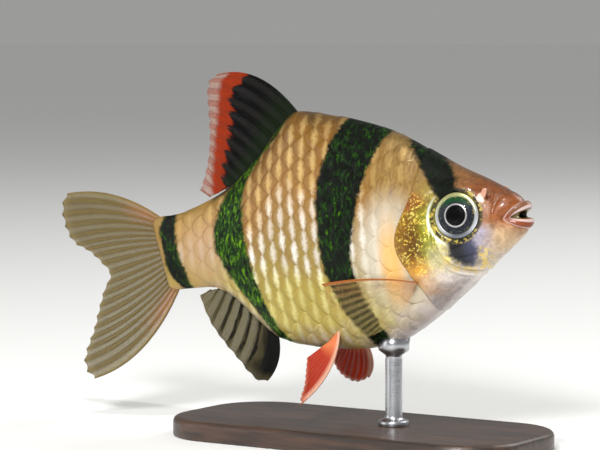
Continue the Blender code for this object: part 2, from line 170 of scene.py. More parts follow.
def plates(x, z):
    """How far the head's plates stand out at a place seen from the side."""
    cover = np.hypot(x - COVER_CENTRE[0], z - COVER_CENTRE[1]) / COVER_RADIUS
    on_side = step(-8.5, -5.5, z) * (1 - step(3.4, 5.2, z))
    out = COVER_RISE * step(0.5, 0.93, cover) * (1 - step(37.5, 41, x)) * on_side
    upright = np.abs(x - CHEEK_EDGE_X) + 4 * step(2.5, 3.5, z)
    bend = np.abs(np.hypot(x - CHEEK_BEND[0], z - CHEEK_BEND[1]) - CHEEK_BEND[2]) + 4 * step(43, 44.5, x)
    cheek = np.where(z > CHEEK_BEND[1], upright, bend)
    out += FOLD_RIDGE * hump(cheek - 0.32, 0.25) - FOLD_GROOVE * hump(cheek, 0.16)
    under_eye = np.hypot(x - EYE_AT[0], z - EYE_AT[1] + 0.2)
    below = (z < EYE_AT[1] - 0.8) & (x > 38.4)
    out -= np.where(below, ORBIT_GROOVE * hump(under_eye - 4.35, 0.16), 0)
    for (at_x, at_z), radius, width, height, from_x, from_z in ARCS.values():
        away = np.hypot(x - at_x, z - at_z) - radius
        out += height * hump(away, width) * step(*from_z, z) * step(*from_x, x)
    return np.where(gill_edge(z) > x, 0, out)


print("arcs of the head:", len(ARCS), "and the gill cover's edge at", round(gill_edge(-1.7), 1), "mm")

# %% [markdown]
# ## One skin from the tail's root to the mouth
# The skin is a sock: rings of points round the body, close together where the forms are
# fine. Round the gill cover the rings follow its rear edge, so the edge stays crisp. At
# the snout the rings bend into the loops of the lips and turn inwards to line the mouth.

# %% Rings of the skin
POINTS_ROUND = 264
ANGLES = 2 * np.pi * np.arange(POINTS_ROUND) / POINTS_ROUND
ROOT_X, ROOT_LEAN = 0.05, -0.18
SNOUT_X = 44.6

# Loops of the mouth: top x and z, corner x, y and z, chin x and z. Past the lips' rim a
# curtain of skin comes forwards at the corners, as it joins the jaws of a living fish
MOUTH_LOOPS = [
    ((45.9, 2.62), (45.0, 2.25, -0.25), (46.0, -2.72)),
    ((46.75, 1.95), (45.15, 2.05, -0.25), (46.95, -2.0)),
    ((47.1, 1.5), (45.3, 1.78, -0.22), (47.3, -1.58)),
    ((47.55, 1.46), (45.62, 1.78, -0.2), (47.7, -1.38)),
    ((47.9, 1.16), (45.9, 1.6, -0.17), (47.98, -1.0)),
    ((47.98, 0.76), (46.0, 1.38, -0.16), (48.0, -0.64)),
    ((47.76, 0.52), (46.0, 1.2, -0.15), (47.82, -0.46)),
    ((47.4, 0.46), (46.5, 1.06, -0.12), (47.4, -0.42)),
    ((47.05, 0.44), (46.85, 0.9, -0.08), (47.05, -0.4)),
    ((46.6, 0.4), (46.6, 0.66, 0.0), (46.6, -0.36)),
    ((45.6, 0.3), (45.6, 0.4, 0.0), (45.6, -0.25)),
]


print("loops of the mouth:", len(MOUTH_LOOPS))

# %% [markdown]
# Each ring of the trunk is a cut through the body that follows a line seen from the side.
# The loops of the mouth are ovals that bend at their corners. A smooth line through the few
# loops above gives all those between them.

# %% Rings and loops


def body_ring(edge_at, x_shift=0.0):
    """One ring where x follows edge_at(z)."""
    x = np.full(POINTS_ROUND, float(np.mean(edge_at(np.zeros(1)))))
    for _ in range(6):
        x = edge_at(flank(x, ANGLES)[:, 2]) + x_shift
    return flank(x, ANGLES)


def mouth_loop(top, corner, chin):
    """Oval of the mouth through its top, its corners and its chin."""
    side, up = np.sin(ANGLES), np.cos(ANGLES)
    tip_x = np.where(up > 0, top[0], chin[0])
    tip_z = np.where(up > 0, top[1], chin[1])
    x = corner[0] + (tip_x - corner[0]) * np.abs(up)
    z = corner[2] + (tip_z - corner[2]) * np.abs(up) ** 0.8
    return np.stack([x, corner[1] * side, z], -1)


def through(loops, between):
    """Loops with a smooth line of further loops between each pair."""
    loops = np.array(loops)
    out = []
    for i in range(len(loops) - 1):
        a, b = loops[i], loops[i + 1]
        before, after = loops[max(i - 1, 0)], loops[min(i + 2, len(loops) - 1)]
        for k in range(between):
            t = k / between
            out.append(0.5 * (2 * a + (b - before) * t + (2 * before - 5 * a + 4 * b - after) * t ** 2
                              + (3 * a - before - 3 * b + after) * t ** 3))
    return out + [loops[-1]]


def tail_edge(z):
    """Line where the trunk ends and the tail fin begins."""
    return ROOT_X + ROOT_LEAN * z


CUFF_RINGS, TRUNK_RINGS, HEAD_RINGS, MOUTH_STEPS = 10, 130, 96, 5
rings = []
for share in np.linspace(1, 0, CUFF_RINGS, endpoint=False):
    cuff = body_ring(tail_edge, -1.5 * share)
    cuff[:, 1] *= math.sqrt(1 - 0.92 * share)
    cuff[:, 2] *= 1 - 0.06 * share ** 2
    rings.append(cuff)
for share in np.linspace(0, 1, TRUNK_RINGS):
    rings.append(body_ring(lambda z: tail_edge(z) * (1 - share) + gill_edge(z) * share))
head_start = len(rings)
for share in np.linspace(0.004, 1, HEAD_RINGS):
    rings.append(body_ring(lambda z: gill_edge(z) * (1 - share) + SNOUT_X * share))
snout = [rings[-2], rings[-1]] + [mouth_loop(*loop) for loop in MOUTH_LOOPS]
mouth_start = len(rings)
rings += through(snout, MOUTH_STEPS)[MOUTH_STEPS + 1:]
rings = np.array(rings)
# 0 on the face, 1 on the lips' rim, 2 inside the mouth
mouth_loop_number = (np.arange(len(rings)) - mouth_start) / MOUTH_STEPS
mouth_share = np.interp(mouth_loop_number, [0, 2, 5.4, 10], [0, 0, 1, 2])
print("skin rings:", rings.shape)

# %% [markdown]
# The plates lift the rings outwards, and the whole trunk sinks by the depth of the scales
# that will cover it. Both moves follow the surface's own normals, which come from the
# cross product of the grid's two directions.

# %% Shape the skin


def grid_normals(grid):
    """Outward normals of a grid of rings of points."""
    along = np.gradient(grid, axis=0)
    round_ = np.roll(grid, -1, axis=1) - np.roll(grid, 1, axis=1)
    normal = np.cross(along, round_)
    return normal / np.maximum(np.linalg.norm(normal, axis=2, keepdims=True), 1e-9)


plain_normals = grid_normals(rings)
facing = step(0.0, 0.35, np.abs(np.sin(ANGLES)))[None, :]
lift = plates(rings[..., 0], rings[..., 2]) * facing
lift[:head_start] -= SKIN_BELOW_SCALES * step(-1.0, 1.0, rings[:head_start, :, 0])
lift[rings[..., 0] > 46.5] = 0
skin_grid = rings + plain_normals * lift[..., None]

print("plates lift the skin up to", round(float(lift.max()), 2), "mm")

# %% [markdown]
# The eye sits in a round socket with a raised rim. The skin round the eye's axis is pushed
# in or out to a profile, a short list of distance and height, so that the socket fits the
# turned eye made later.

# %% Sockets of the eyes
EYE_LOOKS_AHEAD, EYE_LOOKS_UP = math.radians(10), math.radians(5)
EYE_DEPTH, EYE_STANDS_OUT = 1.2, 0.6
# Distance from the eye's axis, and how far out the skin lies there
ORBIT = [(0.0, -1.3), (2.1, -1.1), (2.34, -0.2), (2.5, 0.2), (2.62, 0.34), (2.8, 0.4), (3.1, 0.34),
         (6.0, 0.3)]
ORBIT_REACH = (2.8, 4.3)


def side_of_body(x, z):
    """Half the body's width at a place seen from the side."""
    middle = smooth(WIDEST_HEIGHT, x)
    above = z > middle
    edge = np.where(above, smooth(BACK, x), smooth(BELLY, x))
    power = np.where(above, BACK_ROUNDNESS, BELLY_ROUNDNESS)
    share = np.minimum(np.abs((z - middle) / (edge - middle)), 1.0)
    return smooth(HALF_WIDTH, x) * (1 - share ** power) ** (1 / power)


def eye_place(side):
    """Centre and outward axis of an eye, in the fish's frame."""
    x, z = EYE_AT
    out = float(side_of_body(np.array(x), np.array(z))) + EYE_STANDS_OUT - EYE_DEPTH
    centre = np.array([x, side * out, z])
    level = math.cos(EYE_LOOKS_UP)
    axis = np.array([math.sin(EYE_LOOKS_AHEAD) * level, side * math.cos(EYE_LOOKS_AHEAD) * level,
                     math.sin(EYE_LOOKS_UP)])
    return centre, axis


for side in (-1, 1):
    centre, axis = eye_place(side)
    reach = skin_grid - centre
    deep = reach @ axis
    out = np.linalg.norm(reach - deep[..., None] * axis, axis=2)
    hold = (1 - step(*ORBIT_REACH, out)) * (deep > -1.5)
    skin_grid += (hold * (smooth(ORBIT, out) - deep))[..., None] * axis

print("eyes stand out to", round(abs(float(centre[1])) + EYE_DEPTH, 2), "mm from the midline")

# %% [markdown]
# ## Tools for materials
# A material is a small network. These helpers place one node and link its inputs in one
# line, so that the networks below read as lists of what they do.

# %% Node helpers
FLOAT, COLOUR, VECTOR = "NodeSocketFloat", "NodeSocketColor", "NodeSocketVector"


class Wire:
    """Output of a node. A sum written on wires places the nodes that do it."""

    def __init__(self, socket):
        self.socket = socket

    def __abs__(self):
        return maths("ABSOLUTE", self)


for sign, operation in (("add", "ADD"), ("sub", "SUBTRACT"), ("mul", "MULTIPLY"), ("truediv", "DIVIDE"),
                        ("mod", "MODULO"), ("pow", "POWER")):
    setattr(Wire, f"__{sign}__", lambda one, other, kind=operation: maths(kind, one, other))
    setattr(Wire, f"__r{sign}__", lambda one, other, kind=operation: maths(kind, other, one))


class Placed:
    """Node in a network, whose outputs are read by name as wires."""

    def __init__(self, node):
        self.node = node

    def __getitem__(self, name):
        return Wire(self.node.outputs[name])


def tree_of(*values):
    """Network that the wires among some values belong to."""
    return next(value.socket.id_data for value in values if isinstance(value, Wire))


def feed(node, inputs):
    """Set inputs of a node, or link wires to them."""
    for name, value in inputs.items():
        if isinstance(value, Wire):
            node.id_data.links.new(value.socket, node.inputs[name])
        else:
            node.inputs[name].default_value = value


def add(tree, kind, inputs=None, **settings):
    """Place a node, set its settings, and set or link its inputs."""
    node = tree.nodes.new(kind)
    for name, value in settings.items():
        setattr(node, name, value)
    feed(node, inputs or {})
    return Placed(node)


print("kinds of wire:", FLOAT, COLOUR, VECTOR)

# %% [markdown]
# Sums on numbers and vectors are nodes too. With these helpers a formula is written as it
# would be on paper, and the nodes for it appear in the network.

# %% Sums on wires


def maths(operation, *values, clamp=False):
    """Result of one sum on numbers and wires."""
    return add(tree_of(*values), "ShaderNodeMath", dict(enumerate(values)), operation=operation,
               use_clamp=clamp)[0]


def vector_maths(operation, *values):
    """Result of one sum on vectors."""
    made = add(tree_of(*values), "ShaderNodeVectorMath", dict(enumerate(values)), operation=operation)
    return made["Value" if operation == "LENGTH" else "Vector"]


def stretched(vector, factor):
    """Vector made longer or shorter."""
    made = add(tree_of(vector), "ShaderNodeVectorMath", {0: vector, "Scale": factor}, operation="SCALE")
    return made[0]


def parted(vector):
    """Node whose outputs X, Y and Z are a vector's parts."""
    return add(tree_of(vector), "ShaderNodeSeparateXYZ", {"Vector": vector})


def joined(x, y, z=0.0):
    """Vector from three numbers."""
    return add(tree_of(x, y, z), "ShaderNodeCombineXYZ", {"X": x, "Y": y, "Z": z})[0]


print("sums on vectors:", [way.__name__ for way in (vector_maths, stretched, parted, joined)])

# %% [markdown]
# The next helpers name what a pattern is made of. A ramp turns a distance into a soft step,
# and a blend mixes two colours by a mask. Colours are written as a screen shows them, and
# one function turns them into the linear values that light needs.

# %% Colours and blends


def paint(red, green, blue):
    """Colour from a screen's red, green and blue of 0 to 255, as a material needs it."""
    return tuple(c / 255 / 12.92 if c < 10 else ((c / 255 + 0.055) / 1.055) ** 2.4
                 for c in (red, green, blue))


def ramp(value, low, high):
    """0 to 1 as value goes from low to high, smooth."""
    return add(tree_of(value), "ShaderNodeMapRange", {"Value": value, "From Min": low, "From Max": high},
               interpolation_type="SMOOTHSTEP")[0]


def between(value, low, high, soft):
    """1 where value lies from low to high, 0 outside, with soft borders."""
    return ramp(value, low - soft, low + soft) * (1.0 - ramp(value, high - soft, high + soft))


def blend(share, first, second, kind="MIX"):
    """Colour between first and second by share."""
    node = tree_of(share, first, second).nodes.new("ShaderNodeMix")
    node.data_type, node.blend_type = "RGBA", kind
    pair = {index: value if isinstance(value, Wire) else (*value, 1.0)
            for index, value in ((6, first), (7, second))}
    feed(node, {0: share, **pair})
    return Wire(node.outputs[2])


def blend_value(share, first, second):
    """Number between first and second by share."""
    return add(tree_of(share, first, second), "ShaderNodeMapRange",
               {"Value": share, "To Min": first, "To Max": second})[0]


def ramp_of(share, stops):
    """Colour along a ramp of (share, colour) stops."""
    made = add(tree_of(share), "ShaderNodeValToRGB", {"Fac": share})
    stop = made.node.color_ramp.elements
    stop[0].position, stop[0].color = stops[0][0], (*stops[0][1], 1)
    stop[1].position, stop[1].color = stops[-1][0], (*stops[-1][1], 1)
    for position, colour in stops[1:-1]:
        stop.new(position).color = (*colour, 1)
    return made["Color"]


print("screen grey 128 as the material needs it:", round(paint(128, 128, 128)[0], 3))

# %% [markdown]
# Masks say where a mark lies. A spot is an oval seen from the side, a line follows a few
# measured places by a curve node, and noise frays what would look drawn.

# %% Masks from places


def from_side(place, centre):
    """Way from a centre to a place, flattened as seen from the side."""
    return vector_maths("MULTIPLY", vector_maths("SUBTRACT", place, (centre[0], 0, centre[1])), (1, 0, 1))


def spot(place, centre, radii, soft):
    """Soft oval mask round a centre, seen from the side."""
    away = vector_maths("SUBTRACT", place, (centre[0], 0, centre[1]))
    reach = vector_maths("LENGTH", vector_maths("MULTIPLY", away, (1 / radii[0], 0, 1 / radii[1])))
    return 1.0 - ramp(reach, 1 - soft, 1 + soft)


def line_at(value, places, span_in, span_out):
    """Smooth line through places (value, result), each in its own span."""
    share = add(tree_of(value), "ShaderNodeMapRange",
                {"Value": value, "From Min": span_in[0], "From Max": span_in[1]})
    line = add(tree_of(value), "ShaderNodeFloatCurve", {"Value": share[0]})
    curve = line.node.mapping.curves[0]
    knots = [((a - span_in[0]) / (span_in[1] - span_in[0]), (b - span_out[0]) / (span_out[1] - span_out[0]))
             for a, b in places]
    curve.points[0].location = (0.0, knots[0][1])
    curve.points[1].location = (1.0, knots[-1][1])
    for knot in knots:
        curve.points.new(*knot)
    line.node.mapping.update()
    return line[0] * (span_out[1] - span_out[0]) + span_out[0]


def noise(place, scale, detail=3.0, roughness=0.55, distortion=0.0):
    """Cloudy mask from 0 to 1."""
    return add(tree_of(place), "ShaderNodeTexNoise",
               {"Vector": place, "Scale": scale, "Detail": detail, "Roughness": roughness,
                "Distortion": distortion})["Fac"]


print("masks:", [way.__name__ for way in (spot, line_at, noise)])

# %% [markdown]
# A shader group is a network with named inputs and outputs. It is built once and placed in
# each material that needs it. The shader itself stays in the material, because an export
# reads it there.

# %% Groups and materials


def new_group(name, inputs, outputs):
    """Empty shader group with named sockets: (tree, its inputs, its output node)."""
    tree = bpy.data.node_groups.new(name, "ShaderNodeTree")
    for socket, kind, value in inputs:
        made = tree.interface.new_socket(socket, in_out="INPUT", socket_type=kind)
        made.default_value = value
    for socket, kind in outputs:
        tree.interface.new_socket(socket, in_out="OUTPUT", socket_type=kind)
    return tree, Placed(tree.nodes.new("NodeGroupInput")), tree.nodes.new("NodeGroupOutput")


def use(tree, group, **inputs):
    """Place a group in a network."""
    node = tree.nodes.new("ShaderNodeGroup")
    node.node_tree = group
    feed(node, {name.replace("_", " ").title(): value for name, value in inputs.items()})
    return Placed(node)


def new_material(name, **constants):
    """Material with a Principled surface: (material, its tree, its surface node)."""
    made = bpy.data.materials.new(name)
    made.use_nodes = True
    surface = made.node_tree.nodes["Principled BSDF"]
    feed(surface, {socket.replace("_", " ").replace("Ior", "IOR"): value
                   for socket, value in constants.items()})
    print("material:", name)
    return made, made.node_tree, surface


def attribute(tree, name):
    """Values that a mesh stores under a name."""
    return add(tree, "ShaderNodeAttribute", attribute_name=name)


# %% [markdown]
# Every piece below becomes an object in the same way, so a few more helpers do it. They make
# an object from points and faces or from a grid of rings, turn its faces outwards, and store
# values on its points for the finish to read.

# %% Objects from points and faces


def put_attribute(mesh, name, values, kind="FLOAT"):
    """Store one value or vector for each point of a mesh."""
    field = "vector" if kind == "FLOAT_VECTOR" else "value"
    stored = mesh.attributes.new(name, kind, "POINT")
    stored.data.foreach_set(field, np.asarray(values, np.float32).ravel())


def outwards(mesh):
    """Turn a closed mesh's faces outwards."""
    shell = bmesh.new()
    shell.from_mesh(mesh)
    bmesh.ops.recalc_face_normals(shell, faces=shell.faces)
    shell.to_mesh(mesh)
    shell.free()


def linked(name, data):
    """Object in the scene that shows a mesh, a light or a camera."""
    made = bpy.data.objects.new(name, data)
    bpy.context.collection.objects.link(made)
    return made


def piece_from(name, points, faces, finish):
    """Smooth closed object from points in metres and faces."""
    mesh = bpy.data.meshes.new(name)
    mesh.from_pydata(points.tolist(), [], faces)
    mesh.shade_smooth()
    mesh.materials.append(finish)
    outwards(mesh)
    return linked(name, mesh)


def grid_piece(name, grid, finish):
    """Object from rings of points in the fish's frame, with a fan over both ends."""
    count, around = grid.shape[:2]
    points = np.concatenate([grid.reshape(-1, 3), grid[:1].mean(1), grid[-1:].mean(1)])
    r, i = np.meshgrid(np.arange(count - 1), np.arange(around), indexing="ij")
    j = (i + 1) % around
    quads = np.stack([r * around + i, r * around + j, (r + 1) * around + j, (r + 1) * around + i], -1)
    faces = quads.reshape(-1, 4)[:, ::-1].tolist()
    last = (count - 1) * around
    for k in range(around):
        n = (k + 1) % around
        faces.append((len(points) - 2, n, k))
        faces.append((len(points) - 1, last + k, last + n))
    return piece_from(name, to_world(points), faces, finish)


print("ways to make an object:", [way.__name__ for way in (linked, piece_from, grid_piece)])

# %% [markdown]
# ## Where a place is on the fish
# Object coordinates are metres in the object's frame. This group turns them into the
# fish's millimetres, so that every marking below is a number measured along the fish.

# %% Group: place on the fish
place_group, _, place_out = new_group("place_on_fish", [], [("Place", VECTOR), ("Along", FLOAT),
                                                            ("Side", FLOAT), ("Up", FLOAT)])
coordinates = add(place_group, "ShaderNodeTexCoord")
turned = add(place_group, "ShaderNodeMapping",
             {"Vector": coordinates["Object"], "Location": tuple(TAIL_ROOT * MM),
              "Rotation": (0, -NOSE_UP, 0), "Scale": (MM, MM, MM)}, vector_type="TEXTURE")
split = parted(turned[0])
feed(place_out, {"Place": turned[0], "Along": split["X"], "Side": abs(split["Y"]), "Up": split["Z"]})
print("groups:", [g.name for g in bpy.data.node_groups])

# %% [markdown]
# ## The bands
# A tiger barb wears four black bands. Each border is a line down the flank, given by a few
# places as height and distance along the fish, and drawn by a curve node. Noise frays the
# borders, as pigment cells do.

# %% Group: the four bands
LOWEST, HIGHEST, NEAREST, LONGEST = -15.0, 16.0, -5.0, 50.0
# Rear border, front border and softness
BANDS = {
    "root_band": ([(-5.0, 1.6), (-2.3, -0.1), (1.0, -0.75), (3.0, -0.9), (4.6, -0.1)],
                  [(-5.0, 3.0), (-1.2, 2.05), (1.5, 1.5), (4.6, 1.5)], 0.3),
    "rear_band": ([(-12.0, 14.6), (-8.0, 12.5), (-4.4, 9.9), (-2.0, 8.4), (1.0, 7.4), (3.2, 8.0),
                   (5.7, 9.2), (8.0, 11.4), (13.0, 17.3)],
                  [(-12.0, 16.3), (-9.0, 14.9), (-5.3, 13.6), (-1.6, 12.8), (2.8, 12.3), (5.1, 12.3),
                   (7.3, 12.9), (9.4, 14.5), (13.0, 18.2)], 0.35),
    "middle_band": ([(-12.4, 27.3), (-9.4, 25.7), (-7.1, 24.6), (-2.6, 23.4), (1.9, 23.3), (4.1, 23.2),
                     (7.9, 24.1), (10.6, 25.2), (13.4, 26.7)],
                    [(-12.4, 29.7), (-9.7, 29.2), (-5.7, 27.9), (-1.8, 27.6), (0.3, 28.1), (3.6, 28.9),
                     (6.8, 30.0), (8.8, 31.0), (12.0, 32.5)], 0.3),
    "eye_band": ([(2.0, 39.0), (3.7, 38.0), (6.0, 36.5), (7.7, 35.3), (9.8, 33.9), (12.0, 32.6)],
                 [(2.0, 41.6), (3.5, 40.9), (5.1, 40.1), (6.8, 38.7), (8.5, 37.1), (10.5, 35.6)], 0.35),
}


def border(height, places, lowest=LOWEST, highest=HIGHEST):
    """Distance along the fish of a border line at a height, from a few places on it."""
    return line_at(height, places, (lowest, highest), (NEAREST, LONGEST))


bands_group, _, bands_out = new_group("barb_bands", [], [("Black", FLOAT)])
here = use(bands_group, place_group)
ragged = noise(here["Place"], 1.4, 4.0, 0.7) - 0.5
along = ragged * 1.3 + here["Along"]
black = None
for name, (rear, front, soft) in BANDS.items():
    after = along - border(here["Up"], rear)
    before = border(here["Up"], front) - along
    inside = ramp(after, -soft, soft) * ramp(before, -soft, soft)
    if name == "eye_band":
        inside = inside * ramp(here["Up"], 1.6, 2.6)
    black = inside if black is None else maths("MAXIMUM", black, inside)
feed(bands_out, {"Black": black})
print("bands:", list(BANDS))

# %% [markdown]
# ## Colours of the flank
# Between the bands the flank shades from ochre on the back through pearl to olive yellow
# and a pale belly. A curve gives the height of the back and of the belly at every place
# along the fish, so that one share from 0 at the belly to 1 at the back steers two ramps:
# the ochre net between the scales, and the bright streak in the middle of each scale,
# which is the scale's own pearl with a painted glint.

# %% Group: share of height
height_group, _, height_out = new_group("flank_height", [], [("Share", FLOAT), ("Back", FLOAT)])
here = use(height_group, place_group)
top = line_at(here["Along"], BACK, (-2, 48), (LOWEST, HIGHEST))
bottom = line_at(here["Along"], BELLY, (-2, 48), (LOWEST, HIGHEST))
share = maths("DIVIDE", here["Up"] - bottom, top - bottom, clamp=True)
feed(height_out, {"Share": share, "Back": top})
print("flank height reads", len(BACK), "places of the back and", len(BELLY), "of the belly")

# %% [markdown]
# The two ramps follow. The streaks' pale pearl is partly a painted glint, and a streak's
# brightness differs from scale to scale by a random seed that every scale carries, as real
# scales tilt a little and glint unevenly.

# %% Group: pearl and ochre
NET = [(0.0, paint(176, 156, 112)), (0.1, paint(178, 160, 74)), (0.26, paint(160, 142, 54)),
       (0.46, paint(146, 120, 56)), (0.66, paint(140, 98, 30)), (0.88, paint(122, 84, 22)),
       (1.0, paint(76, 54, 18))]
PEARL_AND_GLINT = [(0.0, paint(214, 204, 186)), (0.1, paint(208, 196, 120)), (0.26, paint(212, 204, 140)),
         (0.42, paint(236, 234, 228)), (0.56, paint(228, 220, 208)), (0.7, paint(194, 160, 96)),
         (0.88, paint(196, 164, 104)), (1.0, paint(140, 110, 62))]
flank_group, flank_in, flank_out = new_group(
    "flank_colour", [("Streak", FLOAT, 0.0), ("Seed", FLOAT, 0.5)], [("Colour", COLOUR), ("Pearl", FLOAT)])
here = use(flank_group, place_group)
height = use(flank_group, height_group)
patchy = noise(here["Place"], 0.22, 2.0) - 0.5
share = patchy * 0.3 + height["Share"]
net = ramp_of(share, NET)
fine = noise(here["Place"], 3.2, 4.0, 0.65)
net = blend(fine * 0.55, net, blend(1.0, net, paint(176, 150, 120), "MULTIPLY"))
# Painted glint over the scales' own pearl: the streak's pale colour, brighter or dimmer from scale to scale
# by its seed
pearl = ramp_of(share, PEARL_AND_GLINT)
strength = flank_in["Seed"] * 0.5 + 0.5
strength = maths("MULTIPLY", flank_in["Streak"], strength, clamp=True)
colour = blend(strength, net, pearl)
print("stops from belly to back:", len(NET), "of ochre and", len(PEARL_AND_GLINT), "of pearl")

# %% [markdown]
# Some parts of the flank differ. The tail's root is plainer and pinker, the nape is streaked
# brown, the breast behind the gill cover is white with a golden edge, and the back is dark
# green along the foot of the dorsal fin. Oval masks lay these colours over the ramps.

# %% Tail's root, nape, breast and back
stalk = 1.0 - ramp(here["Along"], 5.0, 11.0)
colour = blend(stalk * 0.6, colour, paint(150, 118, 50))
pinkish = spot(here["Place"], (6.0, -0.6), (4.2, 3.4), 0.6)
colour = blend(pinkish * 0.55, colour, paint(176, 142, 112))
streaks = add(flank_group, "ShaderNodeMapping", {"Vector": here["Place"], "Scale": (3.6, 1.2, 0.9)})
thin = ramp(noise(streaks[0], 1.0, 3.0, 0.6, 0.4), 0.35, 0.65)
nape = spot(here["Place"], (33.6, 5.6), (3.4, 5.2), 0.5)
colour = blend(nape * 0.6, colour, blend(thin, paint(108, 82, 36), paint(148, 122, 68)))
breast = spot(here["Place"], (32.6, -3.4), (4.0, 6.2), 0.45)
colour = blend(breast * 0.75, colour, paint(212, 204, 186))
golden = spot(here["Place"], (32.6, -4.0), (1.3, 4.2), 0.7)
colour = blend(golden * 0.75, colour, paint(236, 172, 66))
off_back = height["Back"] - here["Up"]
under_fin = between(here["Along"], 7.0, 19.0, 1.0)
foot = 1.0 - ramp(patchy * 1.6 + off_back, 0.25, 0.9)
colour = blend(foot * under_fin * 0.9, colour, paint(22, 34, 10))
belly = 1.0 - ramp(share, 0.0, 0.16)
forward = ramp(here["Along"], 24.0, 32.0)
colour = blend(belly * forward, colour, paint(206, 194, 190))
pearly = maths("MAXIMUM", strength * 0.6 + 0.2, breast * 0.7)
feed(flank_out, {"Colour": colour, "Pearl": pearly})
print("flank group:", len(flank_group.nodes), "nodes")

# %% [markdown]
# ## Green grains in the bands
# The bands are black with fine upright squiggles that glint green, more of them in the rear
# band. A noise with many fine layers, stretched upright, gives them where it rises over a
# level, and its peaks give the brighter yellow-green, which is a painted glint.

# %% Group: green grains
grains_group, _, grains_out = new_group("green_grains", [], [("Grain", FLOAT), ("Tone", FLOAT)])
here = use(grains_group, place_group)
upright = add(grains_group, "ShaderNodeMapping", {"Vector": here["Place"], "Scale": (2.5, 1.6, 1.15)})
curls = noise(upright[0], 1.0, 5.0, 0.72, 0.7)
cloud = noise(here["Place"], 0.45, 3.0, 0.6)
rear_more = ramp(here["Along"], 1.0, 5.0) - ramp(here["Along"], 16.0, 23.0)
crowd = rear_more * 0.22 + cloud * 0.5
level = crowd * 0.45 + curls
feed(grains_out, {"Grain": ramp(level, 0.6, 0.74), "Tone": ramp(level, 0.7, 0.9)})
print("grains group:", len(grains_group.nodes), "nodes")

# %% [markdown]
# ## Colours of the head
# The head has no scales, and its colours are soft patches: an orange-brown snout, a gold
# and green gill cover full of gold flecks with a painted glint, white behind the eye, a
# blue-black cheek patch whose lilac front is a painted sheen, and a pale throat. Each patch
# is an oval with a soft rim, placed in millimetres and ruffled by noise.

# %% Group: head colours
PATCHES = [
    # centre, radii, softness, strength, colour
    ((40.5, 6.5), (5.0, 3.2), 0.6, 0.85, paint(116, 68, 20)),
    ((37.2, 4.4), (2.2, 4.0), 0.6, 0.75, paint(130, 100, 44)),
    ((44.4, 2.2), (4.6, 2.9), 0.55, 0.95, paint(122, 60, 8)),
    ((46.2, -0.2), (2.3, 1.9), 0.6, 0.75, paint(146, 76, 24)),
    ((43.7, 1.1), (0.6, 1.5), 0.7, 0.5, paint(196, 150, 122)),
    ((37.3, -1.2), (1.9, 4.4), 0.5, 0.95, paint(128, 132, 14)),
    ((34.6, -1.4), (1.8, 4.6), 0.45, 0.95, paint(134, 92, 4)),
    ((35.6, -2.3), (0.9, 2.6), 0.8, 0.8, paint(84, 52, 6)),
    ((36.0, 2.6), (1.5, 1.0), 0.6, 0.75, paint(136, 66, 16)),
    ((36.4, -5.6), (2.4, 1.7), 0.6, 0.85, paint(214, 152, 40)),
    ((38.6, -4.4), (1.5, 2.1), 0.6, 0.85, paint(204, 198, 158)),
    ((40.6, -6.2), (4.0, 1.3), 0.6, 0.8, paint(212, 204, 206)),
    # Painted sheen: the lilac front of the cheek patch
    ((43.0, -2.0), (1.3, 1.4), 0.5, 0.9, paint(168, 164, 188)),
    ((45.2, -2.6), (1.6, 1.5), 0.6, 0.7, paint(212, 180, 140)),
]
head_group, _, head_out = new_group("head_colour", [],
                                    [("Colour", COLOUR), ("Pearl", FLOAT), ("Fleck", FLOAT)])
here = use(head_group, place_group)
ruffle = add(head_group, "ShaderNodeTexNoise",
             {"Vector": here["Place"], "Scale": 1.1, "Detail": 4.0, "Roughness": 0.62})
shifted = vector_maths("SUBTRACT", ruffle["Color"], (0.5, 0.5, 0.5))
shifted = vector_maths("MULTIPLY_ADD", shifted, (1.5, 1.5, 1.5), here["Place"])
colour = blend(ramp(here["Up"], -6.5, 1.0), paint(206, 198, 198), paint(172, 154, 104))
for centre, radii, soft, strength, tint in PATCHES:
    mask = spot(shifted, centre, radii, soft)
    colour = blend(mask * strength, colour, tint)
print("patches of the head:", len(PATCHES))

# %% [markdown]
# Finer marks lie over the patches: a dusky ridge from the nape over the snout, dark freckles
# on the forehead, and gold flecks on the gill cover, brightened with a painted glint. The
# flecks are cells of a Voronoi texture, since each cell has a random colour that says whether
# the fleck shows.

# %% Ridge, freckles and flecks
FLECKS_PER_MM = 3.3
ridge = (1.0 - ramp(here["Side"], 0.2, 1.9)) * ramp(here["Up"], 1.2, 3.0)
colour = blend(ridge * 0.55, colour, paint(78, 52, 34))
freckles = ramp(noise(here["Place"], 3.0, 4.0, 0.7), 0.5, 0.64)
freckles = freckles * spot(here["Place"], (43.5, 2.8), (4.6, 3.0), 0.5)
colour = blend(freckles * 0.6, colour, paint(64, 34, 14))
mottle = ramp(noise(here["Place"], 1.3, 5.0, 0.7, 0.6), 0.3, 0.7)
mottled = blend(1.0, colour, blend(mottle, paint(150, 130, 110), paint(255, 250, 240)), "MULTIPLY")
colour = blend(0.5, colour, mottled)
cells = add(head_group, "ShaderNodeTexVoronoi", {"Vector": shifted, "Scale": FLECKS_PER_MM})
fleck_tone = add(head_group, "ShaderNodeSeparateColor", {"Color": cells["Color"]})
fleck_and_glint = ramp(fleck_tone["Red"], 0.3, 0.75) * (1.0 - ramp(cells["Distance"], 0.15, 0.62))
golden = spot(shifted, (36.0, -1.4), (2.9, 5.0), 0.4)
fleck_and_glint = fleck_and_glint * golden
# Partly painted glint: the gill cover's gold flecks, painted bright gold to pale yellow
colour = blend(fleck_and_glint * 0.8, colour, blend(fleck_tone["Green"], paint(232, 186, 30), paint(236, 230, 120)))
print("flecks in cells of", round(1 / FLECKS_PER_MM, 2), "mm")
